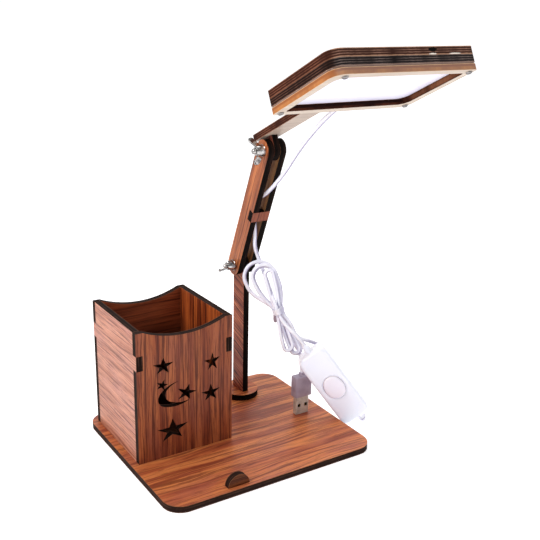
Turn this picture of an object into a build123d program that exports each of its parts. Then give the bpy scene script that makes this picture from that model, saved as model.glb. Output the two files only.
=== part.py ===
# Desk lamp with a pen box: laser-cut boards, a two-hinge arm and a flat light head on a USB cord.
# Millimetres. +X to the right, +Y to the back, +Z up. The origin is the centre of the base's underside.
from build123d import *
from math import cos, pi, radians, sin, tan
import os

os.makedirs("parts", exist_ok=True)

# Boards and fits
board = 5.0               # every wooden board
slip = 0.1                # a tab in its slot, on each side
running_fit = 0.08        # a bolt in its hole, on the radius
side_gap = 0.2            # between a hinge's boards, on each side

# Base
base_width = 170.0
base_depth = 150.0
base_corner = 14.0

# Pen box
box_left = -79.5
box_front = -12.0
box_width = 76.0
box_depth = 78.0
box_height = 100.0
rim_flat = 5.5            # level ends of the hollowed rim
rim_dip = 7.0             # how far the rim is hollowed
corner_tab_height = 11.0
corner_tab_below_rim = 17.0
foot_tab = 14.0           # width of a tab in the base
foot_tab_inset = 18.0     # from the panel's edge to the tab's middle

# Stars in the front panel: the tips of each, across and up from the panel's lower left corner
stars = [
    [(20.5, 78.7), (28.7, 73.8), (24.6, 66.2), (15.4, 66.8), (12.4, 74.3)],
    [(59.5, 74.2), (65.8, 69.7), (63.4, 60.6), (55.9, 61.1), (52.6, 68.9)],
    [(21.3, 61.8), (24.0, 57.4), (21.2, 52.6), (15.2, 55.5), (15.0, 60.6)],
    [(40.7, 53.8), (46.8, 46.9), (41.2, 41.4), (31.7, 43.5), (31.4, 52.0)],
    [(58.2, 49.5), (65.9, 44.9), (62.9, 36.5), (53.3, 36.9), (50.3, 44.2)],
    [(26.9, 29.5), (39.6, 23.6), (34.4, 13.1), (18.9, 12.9), (14.8, 23.1)],
]
star_waist = 0.46         # an inner corner, from the star's middle to halfway between two tips

# Crescent in the front panel, from the same corner: two tips and points on its outer and inner edge
moon_tip_high = (32.9, 57.8)
moon_tip_low = (41.6, 42.0)
moon_outer = [(24.6, 56.1), (18.0, 51.5), (16.1, 44.9), (20.6, 40.3), (30.8, 38.8)]
moon_inner = [(32.9, 41.1), (25.5, 43.3), (21.8, 48.0), (23.3, 53.3), (27.5, 56.2)]

# Phone stop near the front edge
stop_middle = -32.0
stop_front = -71.5
stop_radius = 8.4
stop_tab = 8.0

# Post
post_x = 41.0
post_y = 50.0
post_width = 16.0
post_height = 120.0       # to the lower hinge
post_tenon = 10.0
collar_radius = 14.5

# Arm
arm_lean = 22.7           # forward of upright, degrees
arm_length = 106.5        # between the hinges
cross_low = 47.5          # crosspiece along the arm, from the lower hinge
cross_height = 8.6
cross_depth = 5.0

# Head
head_pitch = 25.2         # up towards the front, degrees
head_reach = 90.0         # from the upper hinge to the head's rear edge
head_width = 106.5
head_depth = 68.5
head_round_corner = 8.0   # front left and rear right
head_sharp_corner = 2.0
board_over_hinge = 9.0    # from the hinge's axis to the board's underside
tongue_tab = 10.0
frame_board = 4.0         # thinner board round the window
window_rim = 6.0
window_round_corner = 7.0
window_sharp_corner = 2.0
ring_rim = 7.0
diffuser = 1.0
diffuser_inset = 0.3
led_plate = 1.6
led_plate_inset = 5.0
led_size = 3.0
led_height = 1.0
led_columns = 8
led_rows = 5
led_pitch = 9.5
screw_inset = 3.9         # from the head's edges to a screw
screw_past_corner = 9.0   # the front left screw from the left edge
screw_radius = 1.2
screw_head_radius = 2.0
screw_head_height = 1.2
screw_length = 12.0
cord_hole_side = 9.0      # from the arm's middle to the cord's hole in the head

# Hinge bolts, M4, with a washer on each side and a wing nut on the left
bolt_radius = 2.0
bolt_head_radius = 3.9
bolt_head_height = 2.6
bolt_tip = 2.5            # beyond the nut
washer_radius = 4.5
washer_thickness = 0.8
nut_base_radius = 4.2
nut_top_radius = 3.2
nut_height = 5.5
wing_span = 10.5          # from the axis to a wing's tip
wing_rise = 9.0           # from the nut's seat to a wing's tip
wing_thickness = 1.8
wing_foot = 0.6           # from the nut's seat to a wing's lower edge
wing_low_share = 0.62     # of the rise, where a wing's rounded end begins
wing_round = (0.93, 1.0)  # shares of span and rise at the middle of the rounded end
wing_top = (0.68, 0.9)    # shares of span and rise where the rounded end stops
wing_root_share = 0.8     # of the nut's height, where a wing's upper edge meets the nut
crown_share = 0.6         # of a head's or button's rise that its rounding takes
pan_share = 0.8           # of a screw head's height that its rounding takes
lower_wing_turn = 143.0   # of the wings about the bolt, degrees
upper_wing_turn = 60.0

# Cord
cord_radius = 1.5
fold_share = 0.45         # of the shorter run that a bend may take
behind_cross = -0.4       # the cord's place behind the arm's crosspiece
cord_meeting_height = 53.75  # up the arm, where the two cords meet

# Hank: its plane, its turns and the tie round its waist
hank_middle = (50.0, 9.0, 92.5)
hank_down = (20.0, -25.0, -72.0)
hank_face = (-0.5393, -0.8306, 0.1386)
hank_layers = 4
layer_step = 3.8
waist_half = 1.8
upper_lobe = (15.5, 41.0)          # half width and height of the rear loop above the waist
upper_lobe_step = (2.2, 3.4)       # what each loop in front of it loses
lower_lobe = (7.4, 39.0)           # the same for the loops below the waist
lower_lobe_step = (0.6, 2.2)
hank_start = (15.0, 5.4)           # where the cord comes in: below the waist, to the right
hank_end = (15.0, -3.0)            # where it goes out
lamp_strand_front = 9.6            # depth at which the lamp's own cord passes the waist
tie_length = 5.0
tie_wall = 0.8
tie_room = 0.3

# Inline switch, standing on the table at the base's right edge
switch_middle = (82.4, -23.5, 34.3)
switch_up = (-0.53, 0.25, 0.81)
switch_face = (-0.45, -0.88, -0.0229)
switch_length = 69.0
switch_width = 25.0
switch_thickness = 14.0
switch_corner = 5.5
switch_edge = 2.4
switch_wall = 1.6
button_length = 20.0
button_width = 17.0
button_rise = 1.4
button_travel = 1.2
button_gap = 0.25
button_flange = 1.0
core_length = 12.0
core_width = 9.0
relief_radius = 3.2
relief_tip_radius = 2.2
relief_stub = 2.0
top_relief_length = 7.0
low_relief_length = 2.0

# USB plug, standing on the base
plug_x = 65.4
plug_y = -4.4
shell_width = 12.0
shell_thickness = 4.5
shell_wall = 0.35
shell_length = 15.6
shell_window = 2.2
shell_window_spread = 6.0
shell_window_up = 7.6
overmould_width = 15.6
overmould_thickness = 8.0
overmould_length = 17.4
overmould_edge = 1.6
overmould_round = 1.3
plug_relief_radius = 2.6
plug_relief_length = 2.4
insert_thickness = 1.9

# Worked out from the sizes above
box_right = box_left + box_width
box_back = box_front + box_depth
arm_gap = board + 2 * side_gap
arm_width = 2 * board + arm_gap
hinge_radius = post_width / 2
head_thickness = 2 * board + diffuser + frame_board
head_under = board_over_hinge + board - head_thickness

lower_hinge = Vector(post_x, post_y, post_height)
arm_along = Vector(0, -sin(radians(arm_lean)), cos(radians(arm_lean)))
arm_front = Vector(0, -cos(radians(arm_lean)), -sin(radians(arm_lean)))
upper_hinge = lower_hinge + arm_along * arm_length
head_along = Vector(0, -cos(radians(head_pitch)), sin(radians(head_pitch)))
head_up = Vector(0, sin(radians(head_pitch)), cos(radians(head_pitch)))


def upright_board(front):
    """The plane for a board that stands across X with its front face at this depth."""
    return Plane.XZ.offset(-(front + board))


def arm_side(x):
    """The arm's side plane: local x runs up the arm, local y to its front, from the lower hinge."""
    return Plane(origin=(x, post_y, post_height), x_dir=arm_along, z_dir=(1, 0, 0))


def head_side(x):
    """The head's side plane: local x runs to its front, local y up, from the upper hinge."""
    return Plane(origin=(x, upper_hinge.Y, upper_hinge.Z), x_dir=head_along, z_dir=(-1, 0, 0))


def head_level(height):
    """A plane of the head's boards: local x runs to its front, local y to the right."""
    return Plane(origin=upper_hinge + head_up * height, x_dir=head_along, z_dir=head_up)


# Base plate with the slots that take the box, the post and the phone stop
panel_tabs = [box_left + foot_tab_inset, box_right - foot_tab_inset]
box_middle_y = box_front + box_depth / 2
slot_across = (foot_tab + 2 * slip, board + 2 * slip)
slot_along = (board + 2 * slip, foot_tab + 2 * slip)

with BuildPart() as base_plate:
    with BuildSketch():
        RectangleRounded(base_width, base_depth, base_corner)
        for tab_x in panel_tabs:
            for tab_y in (box_front + board / 2, box_back - board / 2):
                with Locations((tab_x, tab_y)):
                    Rectangle(*slot_across, mode=Mode.SUBTRACT)
        for tab_x in (box_left + board / 2, box_right - board / 2):
            with Locations((tab_x, box_middle_y)):
                Rectangle(*slot_along, mode=Mode.SUBTRACT)
        with Locations((post_x, post_y)):
            Rectangle(board + 2 * slip, post_tenon + 2 * slip, mode=Mode.SUBTRACT)
        with Locations((stop_middle, stop_front + board / 2)):
            Rectangle(stop_tab + 2 * slip, board + 2 * slip, mode=Mode.SUBTRACT)
    extrude(amount=board)
base_plate.part.label = "base_plate"
export_step(base_plate.part, "parts/base_plate.step")


# Pen box
corner_tab_low = board + box_height - corner_tab_below_rim - corner_tab_height


def end_panel_outline():
    """Front or back panel: hollowed rim, two tabs below, a notch in each side edge."""
    with BuildSketch() as outline:
        with BuildLine():
            Polyline(
                (box_left + rim_flat, board + box_height),
                (box_left, board + box_height),
                (box_left, board),
                (box_right, board),
                (box_right, board + box_height),
                (box_right - rim_flat, board + box_height),
            )
            ThreePointArc(
                (box_right - rim_flat, board + box_height),
                (box_left + box_width / 2, board + box_height - rim_dip),
                (box_left + rim_flat, board + box_height),
            )
        make_face()
        for tab_x in panel_tabs:
            with Locations((tab_x, board / 2)):
                Rectangle(foot_tab, board)
        for edge_x in (box_left + (board + slip) / 2, box_right - (board + slip) / 2):
            with Locations((edge_x, corner_tab_low + corner_tab_height / 2)):
                Rectangle(board + slip, corner_tab_height + 2 * slip, mode=Mode.SUBTRACT)
    return outline.sketch


def star_outline(tips):
    """A star drawn from tip to tip, with its inner corners near its middle."""
    middle = sum((Vector(*tip) for tip in tips), Vector()) / len(tips)
    points = []
    for tip, after in zip(tips, tips[1:] + tips[:1]):
        halfway = (Vector(*tip) + Vector(*after)) / 2
        points += [Vector(*tip), middle + (halfway - middle) * star_waist]
    with BuildSketch() as outline:
        with BuildLine():
            Polyline(*points, close=True)
        make_face()
    return outline.sketch


def moon_outline():
    """The crescent: three arcs along its outer edge and three back along its inner edge."""
    with BuildSketch() as outline:
        with BuildLine():
            ThreePointArc(moon_tip_high, moon_outer[0], moon_outer[1])
            ThreePointArc(moon_outer[1], moon_outer[2], moon_outer[3])
            ThreePointArc(moon_outer[3], moon_outer[4], moon_tip_low)
            ThreePointArc(moon_tip_low, moon_inner[0], moon_inner[1])
            ThreePointArc(moon_inner[1], moon_inner[2], moon_inner[3])
            ThreePointArc(moon_inner[3], moon_inner[4], moon_tip_high)
        make_face()
    return outline.sketch


end_panel = end_panel_outline()
with BuildSketch() as ornament:
    add(moon_outline())
    for tips in stars:
        add(star_outline(tips))

with BuildPart() as box_front_panel:
    with BuildSketch(upright_board(box_front)):
        add(end_panel)
        with Locations((box_left, board)):
            add(ornament.sketch, mode=Mode.SUBTRACT)
    extrude(amount=board)
box_front_panel.part.label = "box_front_panel"
export_step(box_front_panel.part, "parts/box_front_panel.step")

with BuildPart() as box_back_panel:
    with BuildSketch(upright_board(box_back - board)):
        add(end_panel)
    extrude(amount=board)
box_back_panel.part.label = "box_back_panel"
export_step(box_back_panel.part, "parts/box_back_panel.step")


def side_panel_outline():
    """Side panel between the end panels, with a tab through each and one in the base."""
    with BuildSketch() as outline:
        with Locations((box_middle_y, board + box_height / 2)):
            Rectangle(box_depth - 2 * board, box_height)
        with Locations((box_middle_y, corner_tab_low + corner_tab_height / 2)):
            Rectangle(box_depth, corner_tab_height)
        with Locations((box_middle_y, board / 2)):
            Rectangle(foot_tab, board)
    return outline.sketch


side_panel = side_panel_outline()

with BuildPart() as box_left_panel:
    with BuildSketch(Plane.YZ.offset(box_left)):
        add(side_panel)
    extrude(amount=board)
box_left_panel.part.label = "box_left_panel"
export_step(box_left_panel.part, "parts/box_left_panel.step")

with BuildPart() as box_right_panel:
    with BuildSketch(Plane.YZ.offset(box_right - board)):
        add(side_panel)
    extrude(amount=board)
box_right_panel.part.label = "box_right_panel"
export_step(box_right_panel.part, "parts/box_right_panel.step")

# Phone stop: a half-round board
with BuildPart() as phone_stop:
    with BuildSketch(upright_board(stop_front)):
        with BuildLine():
            Line((stop_middle - stop_radius, board), (stop_middle + stop_radius, board))
            ThreePointArc(
                (stop_middle + stop_radius, board),
                (stop_middle, board + stop_radius),
                (stop_middle - stop_radius, board),
            )
        make_face()
        with Locations((stop_middle, board / 2)):
            Rectangle(stop_tab, board)
    extrude(amount=board)
phone_stop.part.label = "phone_stop"
export_step(phone_stop.part, "parts/phone_stop.step")

# Post: a board with a tenon in the base, a round collar about its foot and a round top at the hinge
with BuildPart() as post_collar:
    with BuildSketch(Plane.XY.offset(board)):
        with Locations((post_x, post_y)):
            Circle(collar_radius)
            Rectangle(board + 2 * slip, post_width + 2 * slip, mode=Mode.SUBTRACT)
    extrude(amount=board)
post_collar.part.label = "post_collar"
export_step(post_collar.part, "parts/post_collar.step")

with BuildPart() as post_board:
    with BuildSketch(Plane.YZ.offset(post_x - board / 2)):
        with Locations((post_y, (board + post_height) / 2)):
            Rectangle(post_width, post_height - board)
        with Locations((post_y, post_height)):
            Circle(hinge_radius)
            Circle(bolt_radius + running_fit, mode=Mode.SUBTRACT)
        with Locations((post_y, board / 2)):
            Rectangle(post_tenon, board)
    extrude(amount=board)
post_board.part.label = "post_board"
export_step(post_board.part, "parts/post_board.step")

# Arm: two cheeks with the crosspiece let into their front edges
cross_seat = hinge_radius - cross_depth


def cheek_outline():
    """A cheek, round about both hinges, with a notch for the crosspiece."""
    with BuildSketch() as outline:
        with Locations((arm_length / 2, 0)):
            SlotCenterToCenter(arm_length, post_width)
        with Locations((0, 0), (arm_length, 0)):
            Circle(bolt_radius + running_fit, mode=Mode.SUBTRACT)
        with Locations((cross_low + cross_height / 2, cross_seat + cross_depth / 2)):
            Rectangle(cross_height + 2 * slip, cross_depth, mode=Mode.SUBTRACT)
    return outline.sketch


cheek = cheek_outline()
left_face = post_x - arm_width / 2
right_face = post_x + arm_width / 2

with BuildPart() as cheek_left:
    with BuildSketch(arm_side(left_face)):
        add(cheek)
    extrude(amount=board)
cheek_left.part.label = "cheek_left"
export_step(cheek_left.part, "parts/cheek_left.step")

with BuildPart() as cheek_right:
    with BuildSketch(arm_side(right_face - board)):
        add(cheek)
    extrude(amount=board)
cheek_right.part.label = "cheek_right"
export_step(cheek_right.part, "parts/cheek_right.step")

with BuildPart() as arm_crosspiece:
    with BuildSketch(arm_side(left_face)):
        with Locations((cross_low + cross_height / 2, cross_seat + cross_depth / 2)):
            Rectangle(cross_height, cross_depth)
    extrude(amount=arm_width)
arm_crosspiece.part.label = "arm_crosspiece"
export_step(arm_crosspiece.part, "parts/arm_crosspiece.step")

# Head: hinge tongue, top board with the arm, spacer ring, diffuser, window frame and light plate
head_front = head_reach + head_depth
board_top = board_over_hinge + board
ring_under = board_over_hinge - board
diffuser_under = ring_under - diffuser

with BuildPart() as hinge_tongue:
    with BuildSketch(head_side(post_x + board / 2)):
        Circle(hinge_radius)
        with Locations((0, board_over_hinge / 2)):
            Rectangle(post_width, board_over_hinge)
        with Locations((0, board_over_hinge + board / 2)):
            Rectangle(tongue_tab, board)
        Circle(bolt_radius + running_fit, mode=Mode.SUBTRACT)
    extrude(amount=board)
hinge_tongue.part.label = "hinge_tongue"
export_step(hinge_tongue.part, "parts/hinge_tongue.step")


def head_rectangle(inset, round_corner, sharp_corner):
    """A rectangle inside the head's edges, rounder at its front left and rear right corners."""
    with BuildSketch() as outline:
        with Locations((head_reach + head_depth / 2, 0)):
            Rectangle(head_depth - 2 * inset, head_width - 2 * inset)
        from_rear_right = outline.vertices().sort_by(lambda corner: corner.X - corner.Y)
        fillet([from_rear_right[0], from_rear_right[-1]], round_corner)
        from_rear_left = outline.vertices().sort_by(lambda corner: corner.X + corner.Y)
        fillet([from_rear_left[0], from_rear_left[-1]], sharp_corner)
    return outline.sketch


head_shape = head_rectangle(0, head_round_corner, head_sharp_corner)
screw_places = [
    (head_reach + screw_inset, -head_width / 2 + screw_inset),
    (head_reach + screw_inset, head_width / 2 - screw_inset),
    (head_front - screw_inset, -head_width / 2 + screw_past_corner),
    (head_front - screw_inset, head_width / 2 - screw_inset),
]
cord_hole_radius = cord_radius + running_fit
ring_middle = ring_under + board / 2

with BuildPart() as head_top_board:
    with BuildSketch(head_level(board_over_hinge)):
        add(head_shape)
        with Locations(((head_reach - hinge_radius) / 2, 0)):
            Rectangle(head_reach + hinge_radius, post_width)
        Rectangle(tongue_tab + 2 * slip, board + 2 * slip, mode=Mode.SUBTRACT)
    extrude(amount=board)
    screw_bite = screw_length - (head_thickness - board)
    with BuildSketch(head_level(board_over_hinge)):
        with Locations(*screw_places):
            Circle(screw_radius + running_fit)
    extrude(amount=screw_bite + running_fit, mode=Mode.SUBTRACT)
head_top_board.part.label = "head_top_board"
export_step(head_top_board.part, "parts/head_top_board.step")

with BuildPart() as head_spacer_ring:
    with BuildSketch(head_level(ring_under)):
        add(head_shape)
        add(head_rectangle(ring_rim, window_round_corner, window_sharp_corner), mode=Mode.SUBTRACT)
        with Locations(*screw_places):
            Circle(screw_radius + running_fit, mode=Mode.SUBTRACT)
    extrude(amount=board)
    hole_plane = Plane(
        origin=upper_hinge + head_along * head_reach + head_up * ring_middle + Vector(cord_hole_side, 0, 0),
        z_dir=head_along,
    )
    with BuildSketch(hole_plane):
        Circle(cord_hole_radius)
    extrude(amount=ring_rim, mode=Mode.SUBTRACT)
head_spacer_ring.part.label = "head_spacer_ring"
export_step(head_spacer_ring.part, "parts/head_spacer_ring.step")

with BuildPart() as diffuser_sheet:
    with BuildSketch(head_level(diffuser_under)):
        add(head_rectangle(diffuser_inset, head_round_corner, head_sharp_corner))
        with Locations(*screw_places):
            Circle(screw_radius + running_fit, mode=Mode.SUBTRACT)
    extrude(amount=diffuser)
diffuser_sheet.part.label = "diffuser_sheet"
export_step(diffuser_sheet.part, "parts/diffuser_sheet.step")

with BuildPart() as head_window_frame:
    with BuildSketch(head_level(head_under)):
        add(head_shape)
        add(head_rectangle(window_rim, window_round_corner, window_sharp_corner), mode=Mode.SUBTRACT)
        with Locations(*screw_places):
            Circle(screw_radius + running_fit, mode=Mode.SUBTRACT)
    extrude(amount=frame_board)
head_window_frame.part.label = "head_window_frame"
export_step(head_window_frame.part, "parts/head_window_frame.step")

with BuildPart() as light_plate:
    plate_inset = ring_rim + led_plate_inset
    with BuildSketch(head_level(board_over_hinge - led_plate)):
        with Locations((head_reach + head_depth / 2, 0)):
            Rectangle(head_depth - 2 * plate_inset, head_width - 2 * plate_inset)
    extrude(amount=led_plate)
    with BuildSketch(head_level(board_over_hinge - led_plate - led_height)):
        with Locations((head_reach + head_depth / 2, 0)):
            with GridLocations(led_pitch, led_pitch, led_rows, led_columns):
                Rectangle(led_size, led_size)
    extrude(amount=led_height)
light_plate.part.label = "light_plate"
export_step(light_plate.part, "parts/light_plate.step")


def head_screw(place):
    """A pan-head screw from the head's underside."""
    seat = head_level(head_under)
    with BuildPart() as screw:
        with BuildSketch(seat):
            with Locations(place):
                Circle(screw_radius)
        extrude(amount=screw_length)
        with BuildSketch(seat):
            with Locations(place):
                Circle(screw_head_radius)
        extrude(amount=-screw_head_height)
        rim = screw.edges().filter_by(GeomType.CIRCLE).group_by(SortBy.RADIUS)[-1]
        low_rim = rim.sort_by(lambda edge: edge.center().dot(head_up))[0]
        fillet(low_rim, screw_head_height * pan_share)
    return screw.part


for number, place in enumerate(screw_places, start=1):
    screw_part = head_screw(place)
    screw_part.label = f"head_screw_{number}"
    export_step(screw_part, f"parts/head_screw_{number}.step")


# Hinge hardware, the same at both hinges
def cylinder_along_x(start, end, radius, hinge, bore=0.0):
    """A round bar or ring along X through a hinge."""
    with BuildPart() as bar:
        with BuildSketch(Plane(origin=(start, hinge.Y, hinge.Z), x_dir=(0, 1, 0), z_dir=(1, 0, 0))):
            Circle(radius)
            if bore:
                Circle(bore, mode=Mode.SUBTRACT)
        extrude(amount=end - start)
    return bar.part


def wing_nut(hinge, turn):
    """A wing nut that opens to the left of its washer, its wings turned about the bolt."""
    seat = Plane(
        origin=(left_face - washer_thickness, hinge.Y, hinge.Z),
        x_dir=(0, cos(radians(turn)), sin(radians(turn))),
        z_dir=(-1, 0, 0),
    )
    profile_plane = Plane(origin=seat.origin, x_dir=seat.x_dir, z_dir=seat.y_dir * -1)
    low_tip = (wing_span, wing_rise * wing_low_share)
    mid_tip = (wing_span * wing_round[0], wing_rise * wing_round[1])
    high_tip = (wing_span * wing_top[0], wing_rise * wing_top[1])
    root = nut_height * wing_root_share
    with BuildPart() as nut:
        with BuildSketch(profile_plane):
            with BuildLine():
                Polyline((0, 0), (nut_base_radius, 0), (nut_top_radius, nut_height), (0, nut_height), close=True)
            make_face()
        revolve(axis=Axis(seat.origin, seat.z_dir))
        with BuildSketch(profile_plane.offset(-wing_thickness / 2)):
            for side in (1, -1):
                low, mid, high = [(side * across, up) for across, up in (low_tip, mid_tip, high_tip)]
                with BuildLine():
                    Polyline((side * bolt_radius, wing_foot), (side * nut_base_radius, wing_foot), low)
                    ThreePointArc(low, mid, high)
                    Polyline(
                        high,
                        (side * nut_top_radius, root),
                        (side * bolt_radius, root),
                        (side * bolt_radius, wing_foot),
                    )
                make_face()
        extrude(amount=wing_thickness)
        with BuildSketch(seat):
            Circle(bolt_radius + running_fit)
        extrude(amount=nut_height, mode=Mode.SUBTRACT)
    return nut.part


for hinge_name, hinge, turn in (
    ("lower", lower_hinge, lower_wing_turn),
    ("upper", upper_hinge, upper_wing_turn),
):
    head_seat = right_face + washer_thickness
    tip = left_face - washer_thickness - nut_height - bolt_tip
    with BuildPart() as hinge_bolt:
        add(cylinder_along_x(tip, head_seat, bolt_radius, hinge))
        add(cylinder_along_x(head_seat, head_seat + bolt_head_height, bolt_head_radius, hinge))
        crown = hinge_bolt.edges().filter_by(GeomType.CIRCLE).sort_by(Axis.X)[-1]
        fillet(crown, bolt_head_height * crown_share)
    hinge_bolt.part.label = f"{hinge_name}_bolt"
    export_step(hinge_bolt.part, f"parts/{hinge_name}_bolt.step")

    bore = bolt_radius + running_fit
    outer_washer = cylinder_along_x(left_face - washer_thickness, left_face, washer_radius, hinge, bore)
    outer_washer.label = f"{hinge_name}_washer_left"
    export_step(outer_washer, f"parts/{hinge_name}_washer_left.step")
    head_washer = cylinder_along_x(right_face, head_seat, washer_radius, hinge, bore)
    head_washer.label = f"{hinge_name}_washer_right"
    export_step(head_washer, f"parts/{hinge_name}_washer_right.step")

    nut_part = wing_nut(hinge, turn)
    nut_part.label = f"{hinge_name}_wing_nut"
    export_step(nut_part, f"parts/{hinge_name}_wing_nut.step")


# Cord
def cord_tube(points):
    """A round cord along straight runs and tangent arcs; its radii and length are printed."""
    path_points = [Vector(*point) for point in points]
    radii = []
    for before, here, after in zip(path_points, path_points[1:], path_points[2:]):
        turn = (here - before).get_angle(after - here)
        shorter = min((here - before).length, (after - here).length)
        radii.append(fold_share * shorter / tan(radians(turn / 2)))
    with BuildPart() as tube:
        with BuildLine() as route:
            FilletPolyline(*path_points, radius=radii)
        path = route.wires()[0]
        with BuildSketch(Plane(origin=path_points[0], z_dir=path_points[1] - path_points[0])):
            Circle(cord_radius)
        sweep(path=path)
    length = path.length
    ratio = tube.part.volume / (pi * cord_radius**2 * length)
    print("bend radii", [round(radius, 1) for radius in radii], "length", round(length, 1))
    print("volume over section times length", round(ratio, 4))
    return tube.part


def on_arm(along, front):
    """A point in the arm's middle plane, from the lower hinge."""
    return lower_hinge + arm_along * along + arm_front * front


head_exit = hole_plane.origin
cord_meeting = on_arm(cord_meeting_height, behind_cross)

cord_upper = cord_tube([
    head_exit,
    head_exit - head_along * 12.0,
    (47.6, -46.5, 247.6),
    (45.6, -33.5, 235.2),
    (44.6, -20.0, 221.5),
    (43.2, -5.0, 202.8),
    (41.2, 12.6, 185.6),
    on_arm(cord_meeting_height + 10.2, 0.3),
    on_arm(cord_meeting_height + 4.0, behind_cross),
    cord_meeting,
])
cord_upper.label = "cord_upper"
export_step(cord_upper, "parts/cord_upper.step")


# Hank: one unbroken cord that winds a loop in each layer from the front to the back, drawn in at the waist
hank_plane = Plane(origin=hank_middle, x_dir=hank_down, z_dir=hank_face)


def in_hank(down, across, depth):
    """A point by the hank's own directions, from the middle of its waist."""
    return hank_plane.from_local_coords(Vector(down, across, depth))


def layer_depth(layer):
    """The depth of a layer, counted from the back."""
    return (layer - (hank_layers - 1) / 2) * layer_step


def hank_nodes():
    """The hank's points, each with the kind of run that leads on from it."""
    front = hank_layers - 1
    nodes = [(in_hank(*hank_start, layer_depth(front)), "run")]
    for layer in range(front, -1, -1):
        depth = layer_depth(layer)
        half = upper_lobe[0] - layer * upper_lobe_step[0]
        crest = upper_lobe[1] - layer * upper_lobe_step[1]
        nodes.append((in_hank(0, waist_half, depth), "run"))
        nodes.append((in_hank(half - crest, half, depth), "turn"))
        nodes.append((in_hank(half - crest, -half, depth), "run"))
        nodes.append((in_hank(0, -waist_half, depth), "run"))
        if layer > 0:
            behind = layer_depth(layer - 1)
            half = lower_lobe[0] - (layer - 1) * lower_lobe_step[0]
            crest = lower_lobe[1] - (layer - 1) * lower_lobe_step[1]
            nodes.append((in_hank(crest - half, -half, behind), "turn"))
            nodes.append((in_hank(crest - half, half, behind), "run"))
    nodes.append((in_hank(*hank_end, layer_depth(-1)), "end"))
    return nodes


def hank_tube():
    """The hank's solid and its path: a run is two equal arcs, a turn is half a circle."""
    nodes = hank_nodes()
    down = hank_plane.x_dir
    with BuildPart() as tube:
        with BuildLine() as route:
            for (start, kind), (end, _) in zip(nodes, nodes[1:]):
                middle = (start + end) * 0.5
                if kind == "run":
                    heading = down if (end - start).dot(down) > 0 else down * -1
                    first = TangentArc(start, middle, tangent=heading)
                    TangentArc(middle, end, tangent=first % 1)
                else:
                    outward = down if (middle - hank_plane.origin).dot(down) > 0 else down * -1
                    ThreePointArc(start, middle + outward * ((end - start).length / 2), end)
        path = route.wires()[0]
        with BuildSketch(Plane(origin=nodes[0][0], z_dir=path % 0)):
            Circle(cord_radius)
        sweep(path=path)
    return tube.part, path


def least_self_gap(path, spacing=1.0, apart=14.0):
    """The least gap between parts of a cord that lie some way apart along it."""
    count = int(path.length / spacing)
    points = [path @ (step / count) for step in range(count + 1)]
    least = path.length
    for step, point in enumerate(points):
        for other in points[step + int(apart / spacing):]:
            least = min(least, (point - other).length)
    return least - 2 * cord_radius


cord_hank, hank_path = hank_tube()
hank_section = pi * cord_radius**2 * hank_path.length
print("hank length", round(hank_path.length, 1), "least gap", round(least_self_gap(hank_path), 2))
print("hank volume over section times length", round(cord_hank.volume / hank_section, 4))
cord_hank.label = "cord_hank"
export_step(cord_hank, "parts/cord_hank.step")

# Tie: a flat band round the waist
def tie_outline(reach):
    """The tight outline round the waist's strands, this far from their middles."""
    corners = [(side * waist_half, layer_depth(layer)) for side in (1, -1) for layer in (0, hank_layers - 1)]
    with BuildSketch() as outline:
        with Locations(*corners, (0, lamp_strand_front)):
            Circle(reach)
        make_hull()
    return outline.sketch


with BuildPart() as cord_tie:
    with BuildSketch(Plane(origin=in_hank(-tie_length / 2, 0, 0), x_dir=hank_plane.y_dir, z_dir=hank_plane.x_dir)):
        add(tie_outline(cord_radius + tie_room + tie_wall))
        add(tie_outline(cord_radius + tie_room), mode=Mode.SUBTRACT)
    extrude(amount=tie_length)
cord_tie.part.label = "cord_tie"
export_step(cord_tie.part, "parts/cord_tie.step")

# Inline switch: two shells, a push button on a core, and a strain relief at each end
switch_plane = Plane(origin=switch_middle, x_dir=switch_up, z_dir=switch_face)
half_thickness = switch_thickness / 2
cavity_depth = half_thickness - switch_wall
relief_hole = relief_tip_radius + slip


def switch_level(height):
    """A plane through the switch, this far towards its face."""
    return switch_plane.offset(height)


def switch_shell(side):
    """One half of the housing, hollow, rounded at its outer edges and notched for the strain reliefs."""
    with BuildPart() as shell:
        with BuildSketch(switch_plane):
            RectangleRounded(switch_length, switch_width, switch_corner)
        extrude(amount=side * half_thickness)
        outer = shell.faces().sort_by(Axis(switch_plane.origin, switch_plane.z_dir * side))[-1]
        fillet(outer.edges(), switch_edge)
        with BuildSketch(switch_plane):
            RectangleRounded(
                switch_length - 2 * switch_wall, switch_width - 2 * switch_wall, switch_corner - switch_wall
            )
        extrude(amount=side * cavity_depth, mode=Mode.SUBTRACT)
        with BuildSketch(Plane(origin=switch_plane.origin, z_dir=switch_plane.x_dir)):
            Circle(relief_hole)
        extrude(amount=switch_length / 2, both=True, mode=Mode.SUBTRACT)
    return shell.part


with BuildPart() as switch_lower_shell:
    add(switch_shell(-1))
switch_lower_shell.part.label = "switch_lower_shell"
export_step(switch_lower_shell.part, "parts/switch_lower_shell.step")

with BuildPart() as switch_upper_shell:
    add(switch_shell(1))
    with BuildSketch(switch_plane):
        Ellipse(button_length / 2 + button_gap, button_width / 2 + button_gap)
    extrude(amount=half_thickness, mode=Mode.SUBTRACT)
switch_upper_shell.part.label = "switch_upper_shell"
export_step(switch_upper_shell.part, "parts/switch_upper_shell.step")

button_base = cavity_depth - slip - button_flange
with BuildPart() as switch_button:
    with BuildSketch(switch_level(button_base)):
        Ellipse(button_length / 2, button_width / 2)
    extrude(amount=half_thickness + button_rise - button_base)
    crown = switch_button.faces().sort_by(Axis(switch_plane.origin, switch_plane.z_dir))[-1]
    fillet(crown.edges(), button_rise * crown_share)
    with BuildSketch(switch_level(button_base)):
        Ellipse(button_length / 2 + button_flange, button_width / 2 + button_flange)
    extrude(amount=button_flange)
switch_button.part.label = "switch_button"
export_step(switch_button.part, "parts/switch_button.step")

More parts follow.
